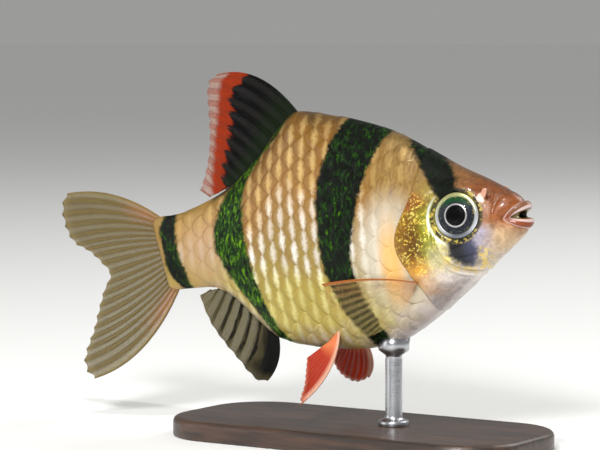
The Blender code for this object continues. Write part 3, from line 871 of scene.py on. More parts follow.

# %% [markdown]
# The cheek wears a blue-black patch with a speckled lower edge, and under its fold a silvery
# arc that is the skin's own silver with a painted highlight. Round the eye lie a dark ring
# with yellow specks and, behind it, a white crescent.
# All of them are bands of distance from a centre, so they stay true circles.

# %% Cheek and surroundings of the eye
# Inner and outer edge, in millimetres from the eye's middle
DARK_RING, WHITE_CRESCENT = (2.5, 3.0), (3.08, 3.28)
patch = spot(shifted, (41.0, -2.9), (1.55, 2.0), 0.25)
edge = maths("SUBTRACT", spot(shifted, (41.2, -3.1), (2.3, 2.6), 0.3), patch, clamp=True)
low_side = 1.0 - ramp(here["Up"], -3.6, -2.2)
speckle = edge * ramp(fleck_tone["Blue"], 0.3, 0.6)
colour = blend(speckle * low_side * 0.9, colour, paint(224, 192, 84))
# Painted sheen: the cheek patch turns lilac-blue towards its front
blue_black_and_sheen = blend(ramp(here["Along"], 40.4, 42.6), paint(18, 20, 24), paint(66, 68, 92))
colour = blend(patch, colour, blue_black_and_sheen)
# Partly painted highlight: the silvery arc under the cheek's fold
bend_away = vector_maths("LENGTH", from_side(shifted, CHEEK_BEND))
silver = between(bend_away, CHEEK_BEND[2] + 0.2, CHEEK_BEND[2] + 1.0, 0.3)
silver = silver * between(here["Along"], 39.6, 44.4, 0.8) * (1.0 - ramp(here["Up"], -4.0, -3.0))
colour = blend(silver * 0.8, colour, paint(222, 214, 206))
eye_away = vector_maths("LENGTH", from_side(here["Place"], EYE_AT))
white = between(eye_away, *WHITE_CRESCENT, 0.14) * (1.0 - ramp(here["Along"], 38.6, 39.6))
white = white * between(here["Up"], -3.6, 2.6, 1.0)
colour = blend(white, colour, paint(206, 210, 190))
ring = between(eye_away, *DARK_RING, 0.16)
specks = ramp(fleck_tone["Green"], 0.55, 0.8) * 0.7
colour = blend(ring * 0.92, colour, blend(specks, paint(34, 34, 20), paint(196, 172, 74)))
print("ring and crescent round the eye:", DARK_RING, WHITE_CRESCENT)

# %% [markdown]
# The nostril is a dark pit with a pale flap behind it. The skin's mesh stores how far into
# the mouth each point lies, and that number paints the lips brown with a whitish rim and
# darkens the lining, to near black deep inside, which is painted shade.

# %% Nostril, lips and mouth
flap = spot(here["Place"], (43.35, 2.35), (0.3, 0.45), 0.4)
colour = blend(flap, colour, paint(222, 190, 172))
pit = spot(here["Place"], PIT_AT, (0.22, 0.24), 0.5)
colour = blend(pit, colour, paint(96, 44, 20))
mouth = attribute(head_group, "mouth")["Fac"]
lip = blend(ramp(here["Up"], 0.0, 0.5), paint(124, 56, 20), paint(112, 68, 42))
colour = blend(ramp(mouth, 0.1, 0.5), colour, lip)
rim = maths("MAXIMUM", between(mouth, 0.9, 1.14, 0.06), between(mouth, 0.34, 0.44, 0.05))
colour = blend(rim * 0.75, colour, paint(206, 188, 184))
colour = blend(ramp(mouth, 1.15, 1.45), colour, paint(86, 78, 30))
# Painted shade: near black deep inside the mouth
colour = blend(ramp(mouth, 1.6, 2.0), colour, paint(30, 24, 12))
pearly = maths("MAXIMUM", golden * 0.45, maths("SUBTRACT", 0.6, ramp(here["Up"], -3.0, 1.5), clamp=True))
feed(head_out, {"Colour": colour, "Pearl": maths("MAXIMUM", pearly, white * 0.6), "Fleck": fleck_and_glint})
print("head group:", len(head_group.nodes), "nodes")

# %% [markdown]
# ## The whole coat of colour
# One group joins flank, head and bands, so that the skin and the scales over it always
# carry the same markings.

# %% Group: the barb's colours
GILL_LINE = [(z, float(gill_edge(np.array(float(z))))) for z in np.linspace(-15, 16, 13)]
barb_group, barb_in, barb_out = new_group(
    "barb_colour", [("Streak", FLOAT, 0.0), ("Seed", FLOAT, 0.5), ("Scaled", FLOAT, 0.0)],
    [("Colour", COLOUR), ("Metallic", FLOAT), ("Roughness", FLOAT), ("Shine", FLOAT), ("Wet", FLOAT),
     ("Height", FLOAT)])
here = use(barb_group, place_group)
flank_look = use(barb_group, flank_group, streak=barb_in["Streak"], seed=barb_in["Seed"])
head_look = use(barb_group, head_group)
edge = line_at(here["Up"], GILL_LINE, (LOWEST, HIGHEST), (30, 42))
on_head = ramp(here["Along"] - edge, -0.15, 0.1)
on_head = on_head * (1.0 - barb_in["Scaled"])
colour = blend(on_head, flank_look["Colour"], head_look["Colour"])
black = use(barb_group, bands_group)["Black"]
grain = use(barb_group, grains_group)
# Painted glint: the brighter yellow-green on the grains
green = blend(grain["Tone"], paint(20, 54, 6), paint(96, 142, 16))
dark_green = grain["Grain"] * (1.0 - on_head * 0.75)
colour = blend(black, colour, blend(dark_green, paint(5, 8, 3), green))
feed(barb_out, {"Colour": colour})
pearl = blend_value(on_head, flank_look["Pearl"], head_look["Pearl"]) * 0.75
feed(barb_out, {"Metallic": blend_value(black, pearl, blend_value(dark_green, 0.0, 0.55)),
                "Roughness": blend_value(head_look["Fleck"], blend_value(black, 0.36, 0.42), 0.25),
                "Shine": blend_value(black, 0.3, 0.08), "Wet": blend_value(black, 0.45, 0.15)})
pores = noise(here["Place"], 5.0, 3.0, 0.6)
relief = grain["Grain"] * black * 0.8 + pores
relief = head_look["Fleck"] * on_head * 0.7 + relief
feed(barb_out, {"Height": relief})
print("gill line read at", len(GILL_LINE), "heights")

# %% [markdown]
# Two materials read this group: one for the skin, and one for the scales. A scale's own
# coordinates place the bright upright streak of pearl, with its painted glint, in the middle
# of its free part. Wet skin has a thin coat of clear gloss over it.

# %% Finishes of skin and scales


def barb_material(name, streak=0.0, seed=0.5, scaled=0.0, relief_depth=0.00005):
    """Wet skin finish that reads the barb's colours."""
    finish, tree, surface = new_material(name, Coat_Roughness=0.06, Coat_Ior=1.36)
    if callable(streak):
        streak = streak(tree)
        seed = attribute(tree, "seed")["Fac"]
    look = use(tree, barb_group, streak=streak, seed=seed, scaled=scaled)
    for socket, part in (("Base Color", "Colour"), ("Metallic", "Metallic"), ("Roughness", "Roughness"),
                         ("Specular IOR Level", "Shine"), ("Coat Weight", "Wet")):
        feed(surface, {socket: look[part]})
    bump = add(tree, "ShaderNodeBump",
               {"Height": look["Height"], "Strength": 0.6, "Distance": relief_depth})
    feed(surface, {"Normal": bump[0]})
    return finish


def scale_streak_and_glint(tree):
    """Upright streak of pearl with a painted glint, in the middle of a scale's free part."""
    place = attribute(tree, "in_scale")["Vector"]
    part = parted(place)
    ruffled = noise(use(tree, place_group)["Place"], 2.2, 4.0, 0.65) - 0.5
    across = abs(ruffled + (part["X"] + 0.5)) / 0.6
    tall = (abs(part["Y"]) / 1.75) ** 2.0
    return 1.0 - ramp(across + tall, 0.0, 1.1)


skin_finish = barb_material("barb_skin")
scale_finish = barb_material("barb_scales", scale_streak_and_glint, scaled=1.0)

# %% [markdown]
# The rings of the skin now become one mesh. It stands for the three solids of the body, and
# the number for the mouth goes on to its points.

# %% Skin object
skin = grid_piece("barb_skin", skin_grid, skin_finish)
points_share = np.concatenate([np.repeat(mouth_share, POINTS_ROUND), [0, 2]])
put_attribute(skin.data, "mouth", points_share)
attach(skin, "root")
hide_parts("head", "trunk", "tail_stalk")
print("skin faces:", len(skin.data.polygons))

# %% [markdown]
# ## Flaps of the nostrils
# Behind each nostril stands a small lobe of thin skin, and the far one shows over the
# snout's outline. Each is a flattened closed form that leans forwards, sunk into the skin at
# its foot.

# %% Nostril flaps
FLAP_FOOT, FLAP_TIP, FLAP_WIDE, FLAP_THICK = (43.45, 2.0), (43.9, 3.35), 0.36, 0.14
flap_finish, tree, surface = new_material("nostril_flap", Roughness=0.35, Coat_Weight=0.2, Alpha=0.9)
tone = noise(use(tree, place_group)["Place"], 2.5, 3.0)
feed(surface, {"Base Color": blend(tone, paint(206, 160, 138), paint(168, 108, 78))})
for side_name, side in (("right", -1), ("left", 1)):
    y = side * (float(side_of_body(np.array(FLAP_FOOT[0]), np.array(FLAP_FOOT[1]))) + 0.02)
    turn = 2 * np.pi * np.arange(24) / 24
    loops = []
    for share in np.linspace(0.04, 0.96, 12):
        x, z = (FLAP_FOOT[k] + (FLAP_TIP[k] - FLAP_FOOT[k]) * share for k in (0, 1))
        swell = math.sqrt(1 - (2 * share - 1) ** 2) * (0.75 + 0.35 * share)
        loops.append(np.stack([x + FLAP_WIDE * swell * np.cos(turn), y + FLAP_THICK * swell * np.sin(turn),
                               np.full(24, z)], -1))
    flap = grid_piece("nostril_flap_" + side_name, np.array(loops), flap_finish)
    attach(flap, "root")
print("flap height:", round(FLAP_TIP[1] - FLAP_FOOT[1], 2), "mm")

# %% [markdown]
# ## Tools for shape trees
# Scales and fin rays repeat by a rule, so they are made by Geometry Nodes. This helper runs
# a tree on an object with named values and turns the result into a plain mesh, because an
# export keeps meshes and drops instances.

# %% Run a tree of Geometry Nodes


def new_tree(name, inputs):
    """Geometry tree with named inputs: (tree, its input node, its output node)."""
    tree = bpy.data.node_groups.new(name, "GeometryNodeTree")
    tree.interface.new_socket("Geometry", in_out="INPUT", socket_type="NodeSocketGeometry")
    for socket, kind in inputs:
        tree.interface.new_socket(socket, in_out="INPUT", socket_type=kind)
    tree.interface.new_socket("Geometry", in_out="OUTPUT", socket_type="NodeSocketGeometry")
    return tree, Placed(tree.nodes.new("NodeGroupInput")), tree.nodes.new("NodeGroupOutput")


def grown(source, tree, values):
    """Plain mesh object made by running a tree on source, which is removed."""
    modifier = source.modifiers.new(tree.name, "NODES")
    modifier.node_group = tree
    for item in tree.interface.items_tree:
        if item.in_out == "INPUT" and item.name in values:
            modifier[item.identifier] = values[item.name]
    ready = source.evaluated_get(bpy.context.evaluated_depsgraph_get())
    mesh = bpy.data.meshes.new_from_object(ready)
    name = source.name
    bpy.data.objects.remove(source)
    if mesh.materials[0] is None:
        mesh.materials.pop(index=0)
    mesh.name = name
    mesh.shade_smooth()
    return linked(name, mesh)


def named(tree, name, kind="FLOAT"):
    """Output of a named attribute in a geometry tree."""
    return add(tree, "GeometryNodeInputNamedAttribute", {"Name": name}, data_type=kind)["Attribute"]


print("tools for trees:", [way.__name__ for way in (new_tree, grown, named)])

# %% [markdown]
# ## Scales
# A barb's scales are thin round plates in staggered rows. Each is sunk at the front and
# free at the rear, over the next one. One plate of a few dozen faces is set out in a flat
# lattice, and the lattice is then bent on to the body: the flat place of every point is
# looked up on a guide sheet that holds the body's surface.

# %% Guide sheet over one side of the trunk
COLUMN_PITCH, ROW_PITCH = 1.6, 2.7
GUIDE_X = np.linspace(-3.6, 40.0, 150)
GUIDE_ANGLE = np.linspace(-1.0, math.pi + 1.0, 140)
MIDLINE_MARGIN = 0.9
# The sheet's map spans 0 to 1 for this many millimetres, because a lookup is fast only there
MAP_SPAN = 100.0


def guide_sheet(name, side):
    """Sheet on the body's surface whose map is millimetres along and round the body."""
    x, angle = np.meshgrid(GUIDE_X, GUIDE_ANGLE * side, indexing="ij")
    places = flank(x, angle)
    out = grid_out(places)
    out *= np.sign(out[75, 70, 1]) * side
    reach = np.linalg.norm(np.diff(places, axis=1), axis=2)
    arc = -np.concatenate([np.zeros((len(GUIDE_X), 1)), np.cumsum(reach, axis=1)], axis=1)
    level = np.argmin(np.abs(GUIDE_ANGLE - math.pi / 2))
    arc -= arc[:, level:level + 1]
    top = arc[:, np.argmin(np.abs(GUIDE_ANGLE))][:, None]
    bottom = arc[:, np.argmin(np.abs(GUIDE_ANGLE - math.pi))][:, None]
    beside = (arc < top - MIDLINE_MARGIN) & (arc > bottom + MIDLINE_MARGIN)
    height = places[..., 2]
    scaled = beside & (x > tail_edge(height) + 0.2) & (x < gill_edge(height) - 0.1)
    count, around = x.shape
    r, i = np.meshgrid(np.arange(count - 1), np.arange(around - 1), indexing="ij")
    first = r * around + i
    quads = np.stack([first, first + 1, first + around + 1, first + around], -1)
    mesh = bpy.data.meshes.new(name)
    mesh.from_pydata(to_world(places.reshape(-1, 3)).tolist(), [], quads.reshape(-1, 4).tolist())
    corner = np.zeros(len(mesh.loops), np.int32)
    mesh.loops.foreach_get("vertex_index", corner)
    flat_map = np.stack([x, arc], -1).reshape(-1, 2)
    shrunk = (flat_map[corner] / MAP_SPAN + 0.5).astype(np.float32)
    mesh.uv_layers.new(name="lattice").data.foreach_set("uv", shrunk.ravel())
    put_attribute(mesh, "out", turn_to_world(out.reshape(-1, 3)), "FLOAT_VECTOR")
    put_attribute(mesh, "scaled", scaled.astype(float).ravel())
    return linked(name, mesh), (flat_map.min(0), flat_map.max(0))


def grid_out(places):
    """Unit normals of an open grid of places."""
    normal = np.cross(np.gradient(places, axis=1), np.gradient(places, axis=0))
    return normal / np.maximum(np.linalg.norm(normal, axis=2, keepdims=True), 1e-9)


print("lattice of scales:", COLUMN_PITCH, "by", ROW_PITCH, "mm")

# %% [markdown]
# A scale is a plate a few hundredths of a millimetre thick, slightly domed, and tilted so
# that its rear edge stands free. A few rings of points are enough, since the finish adds
# the fine relief.

# %% One scale
SCALE_HALF_LENGTH, SCALE_HALF_HEIGHT, SCALE_THICK = 1.75, 1.55, 0.035
SCALE_SUNK, SCALE_RAISED, SCALE_DOME = -0.16, -0.03, 0.04
SCALE_POINTS, SCALE_ROUNDNESS = 18, 1.75


def scale_plate():
    """Thin domed plate, free edge towards -x, with its own coordinates as an attribute."""
    turn = 2 * np.pi * np.arange(SCALE_POINTS) / SCALE_POINTS
    shape = np.stack([np.cos(turn), np.sin(turn)], -1)
    shape = np.sign(shape) * np.abs(shape) ** (2 / SCALE_ROUNDNESS)
    rings_of = []
    for share, drop in ((1.0, SCALE_THICK), (0.985, 0.012), (0.82, 0.0), (0.45, 0.0)):
        rings_of.append(np.concatenate([shape * share, np.full((SCALE_POINTS, 1), drop)], 1))
    points = np.concatenate(rings_of + [[[0, 0, 0]]])
    local = points[:, :2] * (SCALE_HALF_LENGTH, SCALE_HALF_HEIGHT)
    tilt = (1 - points[:, 0]) / 2
    dome = 1 - np.hypot(points[:, 0], points[:, 1]) ** 2
    height = SCALE_SUNK + (SCALE_RAISED - SCALE_SUNK) * tilt + SCALE_DOME * dome
    faces = []
    for ring in range(3):
        for i in range(SCALE_POINTS):
            j = (i + 1) % SCALE_POINTS
            a, b = ring * SCALE_POINTS, (ring + 1) * SCALE_POINTS
            faces.append((a + i, a + j, b + j, b + i))
    for i in range(SCALE_POINTS):
        faces.append((3 * SCALE_POINTS + i, 3 * SCALE_POINTS + (i + 1) % SCALE_POINTS, 4 * SCALE_POINTS))
    faces.append(tuple(range(SCALE_POINTS))[::-1])
    mesh = bpy.data.meshes.new("scale_plate")
    mesh.from_pydata(np.column_stack([local, height - points[:, 2]]).tolist(), [], faces)
    put_attribute(mesh, "in_scale", np.column_stack([local, np.zeros(len(local))]), "FLOAT_VECTOR")
    print("faces in a scale:", len(faces))
    return linked("scale_plate", mesh)


plate = scale_plate()

# %% [markdown]
# The tree first makes the lattice, with every other column shifted by half a row, and drops
# the places that lie off the trunk. Each place keeps a random seed, which sets how bright the
# painted glint of its scale is, so that no two scales glint alike.

# %% Tree that lays the scales
BAKE_PATCH = 0.003 / (2 * SCALE_HALF_LENGTH)
SCALE_TWIST = 0.06
scale_tree, given, result = new_tree("lay_scales", [
    ("Plate", "NodeSocketObject"), ("Column Pitch", FLOAT), ("Row Pitch", FLOAT), ("First Column", FLOAT),
    ("First Row", FLOAT), ("Columns", "NodeSocketInt"), ("Rows", "NodeSocketInt"), ("Uneven", FLOAT),
    ("Bake Low", VECTOR), ("Bake Size", VECTOR), ("Finish", "NodeSocketMaterial")])


def looked_up(sheet, value, place, kind="FLOAT_VECTOR"):
    """Value of the guide sheet at a flat place."""
    tree = tree_of(sheet)
    on_map = vector_maths("MULTIPLY_ADD", place, (1 / MAP_SPAN,) * 3, (0.5, 0.5, 0.0))
    return add(tree, "GeometryNodeSampleUVSurface",
               {"Mesh": sheet, "Value": value, "UV Map": named(tree, "lattice", "FLOAT_VECTOR"),
                "Sample UV": on_map}, data_type=kind)["Value"]


def scattered(tree, low, high, seed):
    """Random value for each point, the same in every run."""
    return add(tree, "FunctionNodeRandomValue", {2: low, 3: high, "Seed": seed}, data_type="FLOAT")[1]


points = add(scale_tree, "GeometryNodeMeshGrid",
             {"Size X": 1.0, "Size Y": 1.0, "Vertices X": given["Columns"], "Vertices Y": given["Rows"]})
number = add(scale_tree, "GeometryNodeInputIndex")[0]
column = maths("FLOOR", (number + 0.5) / given["Rows"])
row = number - column * given["Rows"]
stagger = column % 2.0 * 0.5
flat_x = column * given["Column Pitch"] + given["First Column"]
flat_y = (row + stagger) * given["Row Pitch"] + given["First Row"]
flat_x = scattered(scale_tree, -1.0, 1.0, 3) * given["Uneven"] + flat_x
flat_y = scattered(scale_tree, -1.0, 1.0, 4) * given["Uneven"] + flat_y
laid = add(scale_tree, "GeometryNodeSetPosition",
           {"Geometry": points[0], "Position": joined(flat_x, flat_y)})
here = add(scale_tree, "GeometryNodeInputPosition")[0]
on_body = looked_up(given[0], named(scale_tree, "scaled"), here, "FLOAT")
bare = maths("LESS_THAN", on_body, 0.5)
kept = add(scale_tree, "GeometryNodeDeleteGeometry", {"Geometry": laid[0], "Selection": bare})
seeded = add(scale_tree, "GeometryNodeStoreNamedAttribute",
             {"Geometry": kept[0], "Name": "seed", "Value": scattered(scale_tree, 0.0, 1.0, 5)},
             data_type="FLOAT")
rooted = add(scale_tree, "GeometryNodeStoreNamedAttribute",
             {"Geometry": seeded[0], "Name": "root", "Value": here}, data_type="FLOAT_VECTOR")
print("lattice:", len(scale_tree.nodes), "nodes")

# %% [markdown]
# Then it puts a plate on each place and bends the flat lattice on to the body. Every point
# looks up the body's surface and its outward direction on the guide sheet, and moves out by
# its own height in the plate. Each scale also gets its own patch of the map that an export
# may bake.

# %% Bend the scales on to the body
shape = add(scale_tree, "GeometryNodeObjectInfo", {"Object": given["Plate"]})
turn = joined(0.0, 0.0, scattered(scale_tree, -SCALE_TWIST, SCALE_TWIST, 6))
copies = add(scale_tree, "GeometryNodeInstanceOnPoints",
             {"Points": rooted[0], "Instance": shape["Geometry"], "Rotation": turn})
whole = add(scale_tree, "GeometryNodeRealizeInstances", {"Geometry": copies[0]})
flat_place = parted(here)
ground = looked_up(given[0], add(scale_tree, "GeometryNodeInputPosition")[0], here)
outward = looked_up(given[0], named(scale_tree, "out", "FLOAT_VECTOR"), here)
lifted = stretched(outward, flat_place["Z"] * MM)
patch = stretched(named(scale_tree, "in_scale", "FLOAT_VECTOR"), BAKE_PATCH)
share = vector_maths("DIVIDE", vector_maths("SUBTRACT", named(scale_tree, "root", "FLOAT_VECTOR"),
                                            given["Bake Low"]), given["Bake Size"])
baked = add(scale_tree, "GeometryNodeStoreNamedAttribute",
            {"Geometry": whole[0], "Name": "OFBake", "Value": vector_maths("ADD", share, patch)},
            data_type="FLOAT2", domain="CORNER")
bent = add(scale_tree, "GeometryNodeSetPosition",
           {"Geometry": baked[0], "Position": vector_maths("ADD", ground, lifted)})
finished = add(scale_tree, "GeometryNodeSetMaterial", {"Geometry": bent[0], "Material": given["Finish"]})
feed(result, {0: finished[0]})
print("scale tree:", len(scale_tree.nodes), "nodes")

# %% [markdown]
# Both sides use the same tree on mirrored guide sheets. The left sheet is a mirror image,
# so the faces of its scales are flipped to look outwards again.

# %% Lay the scales on both sides
COLUMNS, ROWS, FIRST_COLUMN, FIRST_ROW = 26, 14, -0.6, -18.9
for name, side, bake_from in (("scales_right", -1, 0.01), ("scales_left", 1, 0.51)):
    sheet, (sheet_low, sheet_high) = guide_sheet(name, side)
    span = (sheet_high - sheet_low) / (0.48, 0.98)
    coat = grown(sheet, scale_tree, {
        "Plate": plate, "Column Pitch": COLUMN_PITCH, "Row Pitch": ROW_PITCH, "First Column": FIRST_COLUMN,
        "First Row": FIRST_ROW, "Columns": COLUMNS, "Rows": ROWS, "Uneven": 0.05,
        "Bake Low": (*(sheet_low - span * (bake_from, 0.01)), 0.0), "Bake Size": (*span, 1.0),
        "Finish": scale_finish})
    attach(coat, "root")
    if side > 0:
        coat.data.flip_normals()
    print(name, "faces:", len(coat.data.polygons))
bpy.data.objects.remove(plate)

# %% [markdown]
# ## Fins
# A fin is a film of skin stretched over jointed rays that fork towards the edge. The film is
# a thin closed sheet between two lines, one in the body and one through the tips. Its
# edge dips a little between the rays, and every point remembers its place in the fin, so
# that the finish can follow the rays.

# %% Lines of the fins


def line_through(places):
    """Function of t from 0 to 1 along the smooth line through places."""
    places = np.array(places, float)
    reach = np.concatenate([[0], np.cumsum(np.linalg.norm(np.diff(places, axis=0), axis=1))])
    reach /= reach[-1]
    return lambda t: np.stack([smooth(list(zip(reach, places[:, axis])), t) for axis in range(3)], -1)


def flat(places):
    """Line through places (x, z) in the fish's middle plane."""
    return line_through([(x, 0.0, z) for x, z in places])


def body_line(knots, front, rear, away):
    """Line along the back or belly from front to rear, a distance away from it."""
    def at(t):
        x = front + (rear - front) * np.asarray(t, float)
        tilt = (smooth(knots, x + 0.4) - smooth(knots, x - 0.4)) / 0.8
        off = np.stack([-tilt, 0 * x, 1 + 0 * x], -1)
        off *= away / np.linalg.norm(off, axis=-1, keepdims=True)
        return np.stack([x, 0 * x, smooth(knots, x)], -1) + off

    return at


def spread_tips(places, y_first, y_last, side):
    """Line through the tips of a paired fin, which spread out from y_first to y_last."""
    y = np.linspace(y_first, y_last, len(places))
    return line_through([(x, side * out, z) for (x, z), out in zip(places, y)])


def root_beside(first, last, side, clear=0.68):
    """Line just off the body's side between two places seen from the side."""
    def at(t):
        t = np.asarray(t, float)
        x, z = (first[k] + (last[k] - first[k]) * t for k in (0, 1))
        return np.stack([x, side * (side_of_body(x, z) + clear), z], -1)

    return at


def bowed(front=(0, 0, 0), rear=(0, 0, 0), power=2):
    """How far the rays bend at their middle, at the first and towards the last."""
    return lambda t: (np.asarray(front) * (1 - np.asarray(t)[..., None]) ** power
                      + np.asarray(rear) * np.asarray(t)[..., None] ** power)


def tail_root(t):
    """Root of the tail fin, just inside the trunk's end."""
    z = 4.1 - 8.5 * np.asarray(t, float)
    return np.stack([tail_edge(z) - 0.3, 0 * z, z], -1)


print("tail fin's root is", round(float(np.ptp(tail_root([0.0, 1.0])[:, 2])), 1), "mm tall")

# %% [markdown]
# Every fin is one row in a table. The places of the tips trace the fin's edge, measured on
# the fish from its first ray to its last.

# %% Table of the fins
PECTORAL_TIPS = [(24.6, -5.2), (24.7, -6.6), (25.1, -8.3), (26.0, -9.8), (27.3, -11.0), (29.0, -11.5),
                 (30.7, -11.0)]
PECTORAL_ROOT = (34.5, -5.8), (34.4, -7.6)
PELVIC_ROOT = (23.4, -11.9), (21.2, -12.2)
PELVIC_BOW = bowed((0.9, 0, -0.3))


def pectoral_bow(t):
    """The rays of a pectoral fin bend up in front and down behind."""
    return np.array([0, 0, 0.4]) * (1 - 2 * np.asarray(t))[..., None]


# Fin: root, tips, bow, rays, how often a ray forks, depth in the body, slot
FINS = {
    "dorsal_fin": (
        body_line(BACK, 19.3, 6.4, 0.3),
        flat([(9.2, 19.7), (7.9, 19.1), (7.5, 17.6), (7.4, 15.2), (7.3, 13.0), (6.8, 10.5), (6.0, 8.4),
              (5.1, 6.75)]),
        bowed((0.35, 0, 1.6)), 12, 1, 0.09, "fin_dark"),
    "anal_fin": (
        body_line(BELLY, 13.9, 4.9, -0.3),
        flat([(11.6, -15.8), (10.6, -15.8), (9.3, -14.9), (8.1, -13.4), (5.9, -10.7), (4.6, -8.7),
              (3.8, -6.6), (3.5, -5.35)]),
        bowed((0.6, 0, -0.3)), 9, 1, 0.14, "fin_dark"),
    "caudal_fin": (
        tail_root,
        flat([(-14.3, 8.3), (-15.2, 7.4), (-15.5, 6.0), (-15.1, 3.9), (-14.0, 2.2), (-12.2, 1.2),
              (-10.5, -0.3), (-9.3, -1.9), (-10.4, -3.6), (-11.6, -6.0), (-12.5, -8.0),
              (-14.2, -10.9), (-14.6, -12.1), (-14.3, -13.2), (-13.2, -14.1)]),
        bowed((0.2, 0, 1.25), (0.7, 0, -1.7), 3), 20, 2, 0.05, "fin_clear"),
    "pelvic_fin_right": (
        root_beside(*PELVIC_ROOT, -1),
        spread_tips([(18.1, -18.5), (17.9, -18.2), (18.6, -16.4), (18.9, -14.8), (19.1, -13.4)],
                    3.5, 2.7, -1),
        PELVIC_BOW, 9, 1, 0.22, "fin_red"),
    "pelvic_fin_left": (
        root_beside(*PELVIC_ROOT, 1),
        spread_tips([(22.0, -16.6), (20.8, -17.0), (19.6, -16.4), (18.9, -15.2), (18.8, -13.9)],
                    5.2, 2.9, 1),
        PELVIC_BOW, 9, 1, 0.3, "fin_red"),
    "pectoral_fin_right": (
        root_beside(*PECTORAL_ROOT, -1), spread_tips(PECTORAL_TIPS, 6.6, 5.3, -1),
        pectoral_bow, 12, 1, 0.12, "fin_pale"),
    "pectoral_fin_left": (
        root_beside(*PECTORAL_ROOT, 1), spread_tips(PECTORAL_TIPS, 6.6, 5.3, 1),
        pectoral_bow, 12, 1, 0.12, "fin_pale"),
}
print("fins:", {fin: row[3] for fin, row in FINS.items()})

# %% [markdown]
# A film is two sheets a tenth of a millimetre apart, joined at their rim. It gets thinner
# towards the tips and waves a little from ray to ray, as a real fin does between its rays.

# %% Film of a fin
EDGE_NOTCH, WAVE = 0.022, 0.07
WAVE_OF_SLOT = {"fin_pale": 0.25, "fin_clear": 0.5}
FILM_ROOT, FILM_TIP, FILM_ROWS = 0.11, 0.035, 34


def on_fin(fin, t, s):
    """Places on the middle of a fin: t from the first ray to the last, s from the root to the tip."""
    root, tips, bow = FINS[fin][:3]
    t, s = np.broadcast_arrays(np.asarray(t, float), np.asarray(s, float))
    start, end = root(t), tips(t)
    s3 = s[..., None]
    return start * (1 - s3) + end * s3 + bow(t) * 4 * s3 * (1 - s3)


def film(fin, finish):
    """Thin closed sheet of one fin."""
    rays, depth = FINS[fin][3], FINS[fin][5]
    columns, rows = 8 * (rays - 1) + 1, FILM_ROWS
    t, s = np.meshgrid(np.linspace(0, 1, columns), np.linspace(0, 1, rows), indexing="ij")
    dip = np.abs(np.sin(np.pi * t * (rays - 1)))
    s = -depth + (1 + depth) * s * (1 - EDGE_NOTCH * dip)
    middle = on_fin(fin, t, s)
    out = grid_out(middle)
    wave = WAVE * WAVE_OF_SLOT.get(FINS[fin][6], 1.0)
    middle = middle + out * (wave * np.sin(2 * np.pi * t * (rays - 1)) * np.clip(s, 0, 1))[..., None]
    half = (FILM_ROOT + (FILM_TIP - FILM_ROOT) * np.clip(s, 0, 1)) * (1 - 0.5 * step(0.93, 1.0, s))
    sheets = np.stack([middle + out * half[..., None], middle - out * half[..., None]])
    count = columns * rows
    c, r = np.meshgrid(np.arange(columns - 1), np.arange(rows - 1), indexing="ij")
    a = c * rows + r
    top = np.stack([a, a + 1, a + rows + 1, a + rows], -1).reshape(-1, 4)
    faces = top.tolist() + (top[:, ::-1] + count).tolist()
    rim = ([(k, 0) for k in range(columns)] + [(columns - 1, k) for k in range(1, rows)]
           + [(k, rows - 1) for k in range(columns - 2, -1, -1)] + [(0, k) for k in range(rows - 2, 0, -1)])
    rim = [k * rows + m for k, m in rim]
    for first, second in zip(rim, rim[1:] + rim[:1]):
        faces.append((first, second, second + count, first + count))
    made = piece_from(fin + "_film", to_world(sheets.reshape(-1, 3)), faces, finish)
    place = np.stack([t, s, 0 * t], -1).reshape(-1, 3)
    put_attribute(made.data, "place", np.concatenate([place, place]), "FLOAT_VECTOR")
    return made


print("film is", FILM_ROOT * 2, "mm thick at the root and", FILM_TIP * 2, "mm at the tips")

# %% [markdown]
# The rays are lines of points with a thickness, and a small tree turns them into fine
# tapering rods. A ray forks by ending one rod and starting two at the same place.

# %% Tree that rounds the rays
ray_tree, given, result = new_tree("round_rays", [("Thickness", FLOAT), ("Sides", "NodeSocketInt"),
                                                  ("Finish", "NodeSocketMaterial")])
lines = add(ray_tree, "GeometryNodeMeshToCurve", {"Mesh": given[0]})
wide = named(ray_tree, "thick") * given["Thickness"]
section = add(ray_tree, "GeometryNodeCurvePrimitiveCircle", {"Resolution": given["Sides"], "Radius": 1.0})
rods = add(ray_tree, "GeometryNodeCurveToMesh",
           {"Curve": lines[0], "Profile Curve": section[0], "Scale": wide, "Fill Caps": True})
plain = add(ray_tree, "GeometryNodeRealizeInstances", {"Geometry": rods[0]})
finished = add(ray_tree, "GeometryNodeSetMaterial", {"Geometry": plain[0], "Material": given["Finish"]})
feed(result, {0: finished[0]})
print("ray tree:", len(ray_tree.nodes), "nodes")

# %% [markdown]
# Rays grow like twigs. Each starts in the body, gets thinner, and forks once or twice on its
# way to the edge. A function that calls itself for each branch says this in a few lines. The
# stiff first rays don't fork.

# %% Rays that fork
RAY_PLACES, RAY_TAPER, TWIG_SHARE, STIFF_THICK = 14, 0.45, 0.78, 1.25
RAY_MARGIN = 0.004


def inside_fin(t):
    """Place across a fin, kept off its first and last edge."""
    return min(max(t, RAY_MARGIN), 1 - RAY_MARGIN)


def ray_lines(fin):
    """Lines of one fin's rays: lists of (t, s, thickness) along each."""
    rays, forks, depth = FINS[fin][3:6]
    gap = 1 / (rays - 1)
    lines = []

    def grow(t, s, thick, forks_left, width):
        last = 1.0 if not forks_left else s + (1 - s) * (0.42 if forks_left == forks else 0.45)
        share = np.linspace(0, 1, RAY_PLACES)
        wide = thick * (1 - RAY_TAPER * share)
        lines.append((t[0] + (t[1] - t[0]) * share, s + (last - s) * share, wide))
        if forks_left:
            for way in (-1, 1):
                grow((t[1], inside_fin(t[1] + way * width)), last, wide[-1] * TWIG_SHARE, forks_left - 1,
                     width * 0.5)

    for i in range(rays):
        t = inside_fin(i * gap)
        stiff = i == 0 or (i == rays - 1 and forks == 2)
        grow((t, t), -depth, STIFF_THICK if stiff else 1.0, 0 if stiff else forks, gap * 0.24)
    return lines


